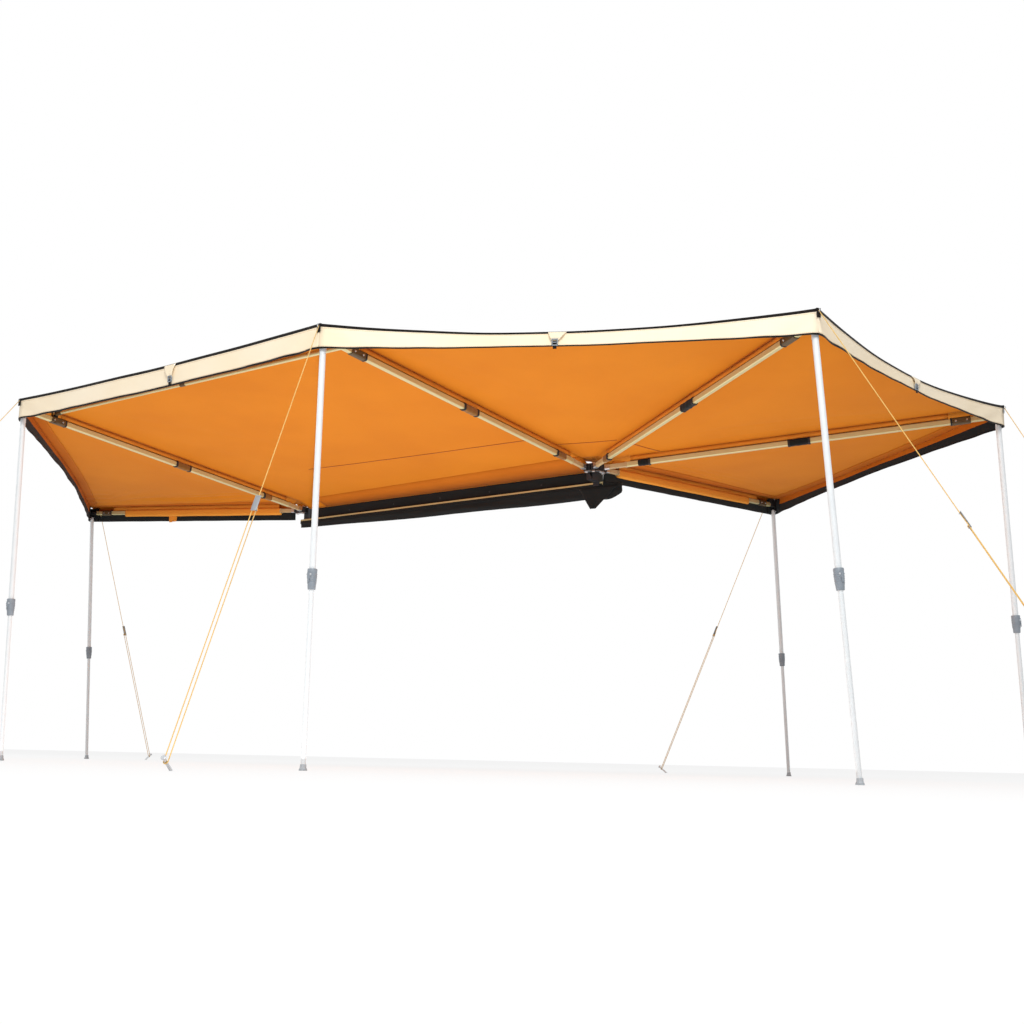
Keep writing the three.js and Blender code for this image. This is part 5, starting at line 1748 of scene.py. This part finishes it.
def repeated(name, tree, points, facings, spacing, size=1.0):
    """Runs a repeat tree along a polyline and returns the plain mesh piece."""
    guide = bpy.data.meshes.new(f"{name}_guide")
    guide.from_pydata([tuple(p) for p in points], [(i, i + 1) for i in range(len(points) - 1)], [])
    stored = guide.attributes.new("facing", "FLOAT_VECTOR", "POINT")
    stored.data.foreach_set("vector", [v for way in facings for v in way])
    carrier = add_object(name, guide)
    modifier = carrier.modifiers.new("repeat", "NODES")
    modifier.node_group = tree
    values = {"Spacing": spacing, "Size": size}
    for item in tree.interface.items_tree:
        if item.in_out == "INPUT" and item.name in values:
            modifier[item.identifier] = values[item.name]
    return applied(carrier)


# Two small meshes that the repeat trees copy. They are removed once the trees have run.
DOME = [(0, 0), (0.0046, 0), (0.0044, 0.0009), (0.0032, 0.0019), (0.0014, 0.0024), (0, 0.0025)]
stud = lathed("stud_unit", DOME, 12, ZINC)
stitch_shape = bmesh.new()
rounded_block(stitch_shape, (-0.0030, -0.0005, -0.0002), (0.0030, 0.0005, 0.0007), 0.0003, 1)
stitch = from_bmesh("stitch_unit", stitch_shape, PIPING)
stud_tree = repeat_tree("studs_along_a_strip", stud, DARK_COAT)
stitch_tree = repeat_tree("stitches_along_a_seam", stitch, PIPING)

snap_line = [(x, RAIL_LINE + 0.0012, RAIL_TOP + 0.030) for x in (RAIL_REAR + 0.05, RAIL_FRONT - 0.05)]
dress(repeated("curtain_snaps", stud_tree, snap_line, [(0, 1, 0)] * 2, 0.38, 1.3), "frame", "peg_steel")
for panel in panels.values():
    shares = [i / SPAN_CELLS for i in range(SPAN_CELLS + 1)]
    ways = [panel.outward(s) for s in shares]
    for depth in (0.16, 0.90):
        line = [panel.valance(s, depth) + way * 0.0002 for s, way in zip(shares, ways)]
        made = repeated(f"{panel.name}_valance_stitches_{round(depth * 100)}", stitch_tree, line, ways, 0.0085)
        panel.hang(made, "canvas", panel.edge_joint)
for unit in (stud, stitch):
    bpy.data.objects.remove(unit)


# Background, floor and lights.
FLOOR_HALF, FLOOR_WHITE_SHARE = 150, 0.80


def white_background():
    """Plain white to the camera and in reflections, and dimmer to the rays that light the scene."""
    bpy.context.scene.view_settings.view_transform = "Standard"
    world = bpy.data.worlds.new("white_studio")
    bpy.context.scene.world = world
    world.use_nodes = True
    tree = world.node_tree
    background = tree.nodes["Background"]
    background.inputs["Color"].default_value = srgb("#FFFFFF")
    path = node(tree, "ShaderNodeLightPath").outputs
    shown = maths(tree, "MAXIMUM", path["Is Camera Ray"], path["Is Glossy Ray"])
    shown = maths(tree, "MAXIMUM", shown, path["Is Transmission Ray"])
    level = node(tree, "ShaderNodeMapRange", {3: 0.48, 4: 1.0}, {0: shown})
    tree.links.new(level.outputs[0], background.inputs["Strength"])


def studio_floor():
    """A pale floor that keeps the shadow: mostly white to the camera, with the diffuse floor mixed in."""
    material, tree, shader = surface("matt_white_floor", 0.9)
    shader.inputs["Base Color"].default_value = srgb("#F4F4F4")
    white = node(tree, "ShaderNodeEmission", {"Color": srgb("#FFFFFF"), "Strength": 1.0})
    seen = node(tree, "ShaderNodeLightPath").outputs["Is Camera Ray"]
    share = maths(tree, "MULTIPLY", seen, by=FLOOR_WHITE_SHARE)
    mix = node(tree, "ShaderNodeMixShader", None, {0: share, 1: shader.outputs[0], 2: white.outputs[0]})
    tree.links.new(mix.outputs[0], tree.nodes["Material Output"].inputs["Surface"])
    centre = (cad_low + cad_high) / 2
    corners = ((-1, -1), (1, -1), (1, 1), (-1, 1))
    points = [(centre.x + FLOOR_HALF * a, centre.y + FLOOR_HALF * b, 0) for a, b in corners]
    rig.stage(new_piece("studio_floor", points, [(0, 1, 2, 3)], [material]))


def area_light(name, place, aim, size, power):
    data = bpy.data.lights.new(name, "AREA")
    data.shape, data.size, data.energy = "DISK", size, power
    lamp = add_object(name, data)
    way = (Vector(aim) - Vector(place)).normalized()
    lamp.matrix_world = Matrix.Translation(place) @ (-UP).rotation_difference(way).to_matrix().to_4x4()
    lamp.visible_camera = False


white_background()
studio_floor()
area_light("key_softbox", (-5.5, 7.0, 6.3), (0, 1, 1.8), 4.0, 470)
area_light("side_softbox", (8.0, 3.0, 5.0), (0.5, 1, 1.5), 4.0, 150)
area_light("floor_bounce", (-0.7, 1.2, 0.05), (-0.7, 1.2, 2.0), 5.0, 46)

visual_low, visual_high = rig.bounds()
with open("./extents.json", "w") as out:
    json.dump({"cad": [list(cad_low), list(cad_high)], "visual": [list(visual_low), list(visual_high)]}, out)
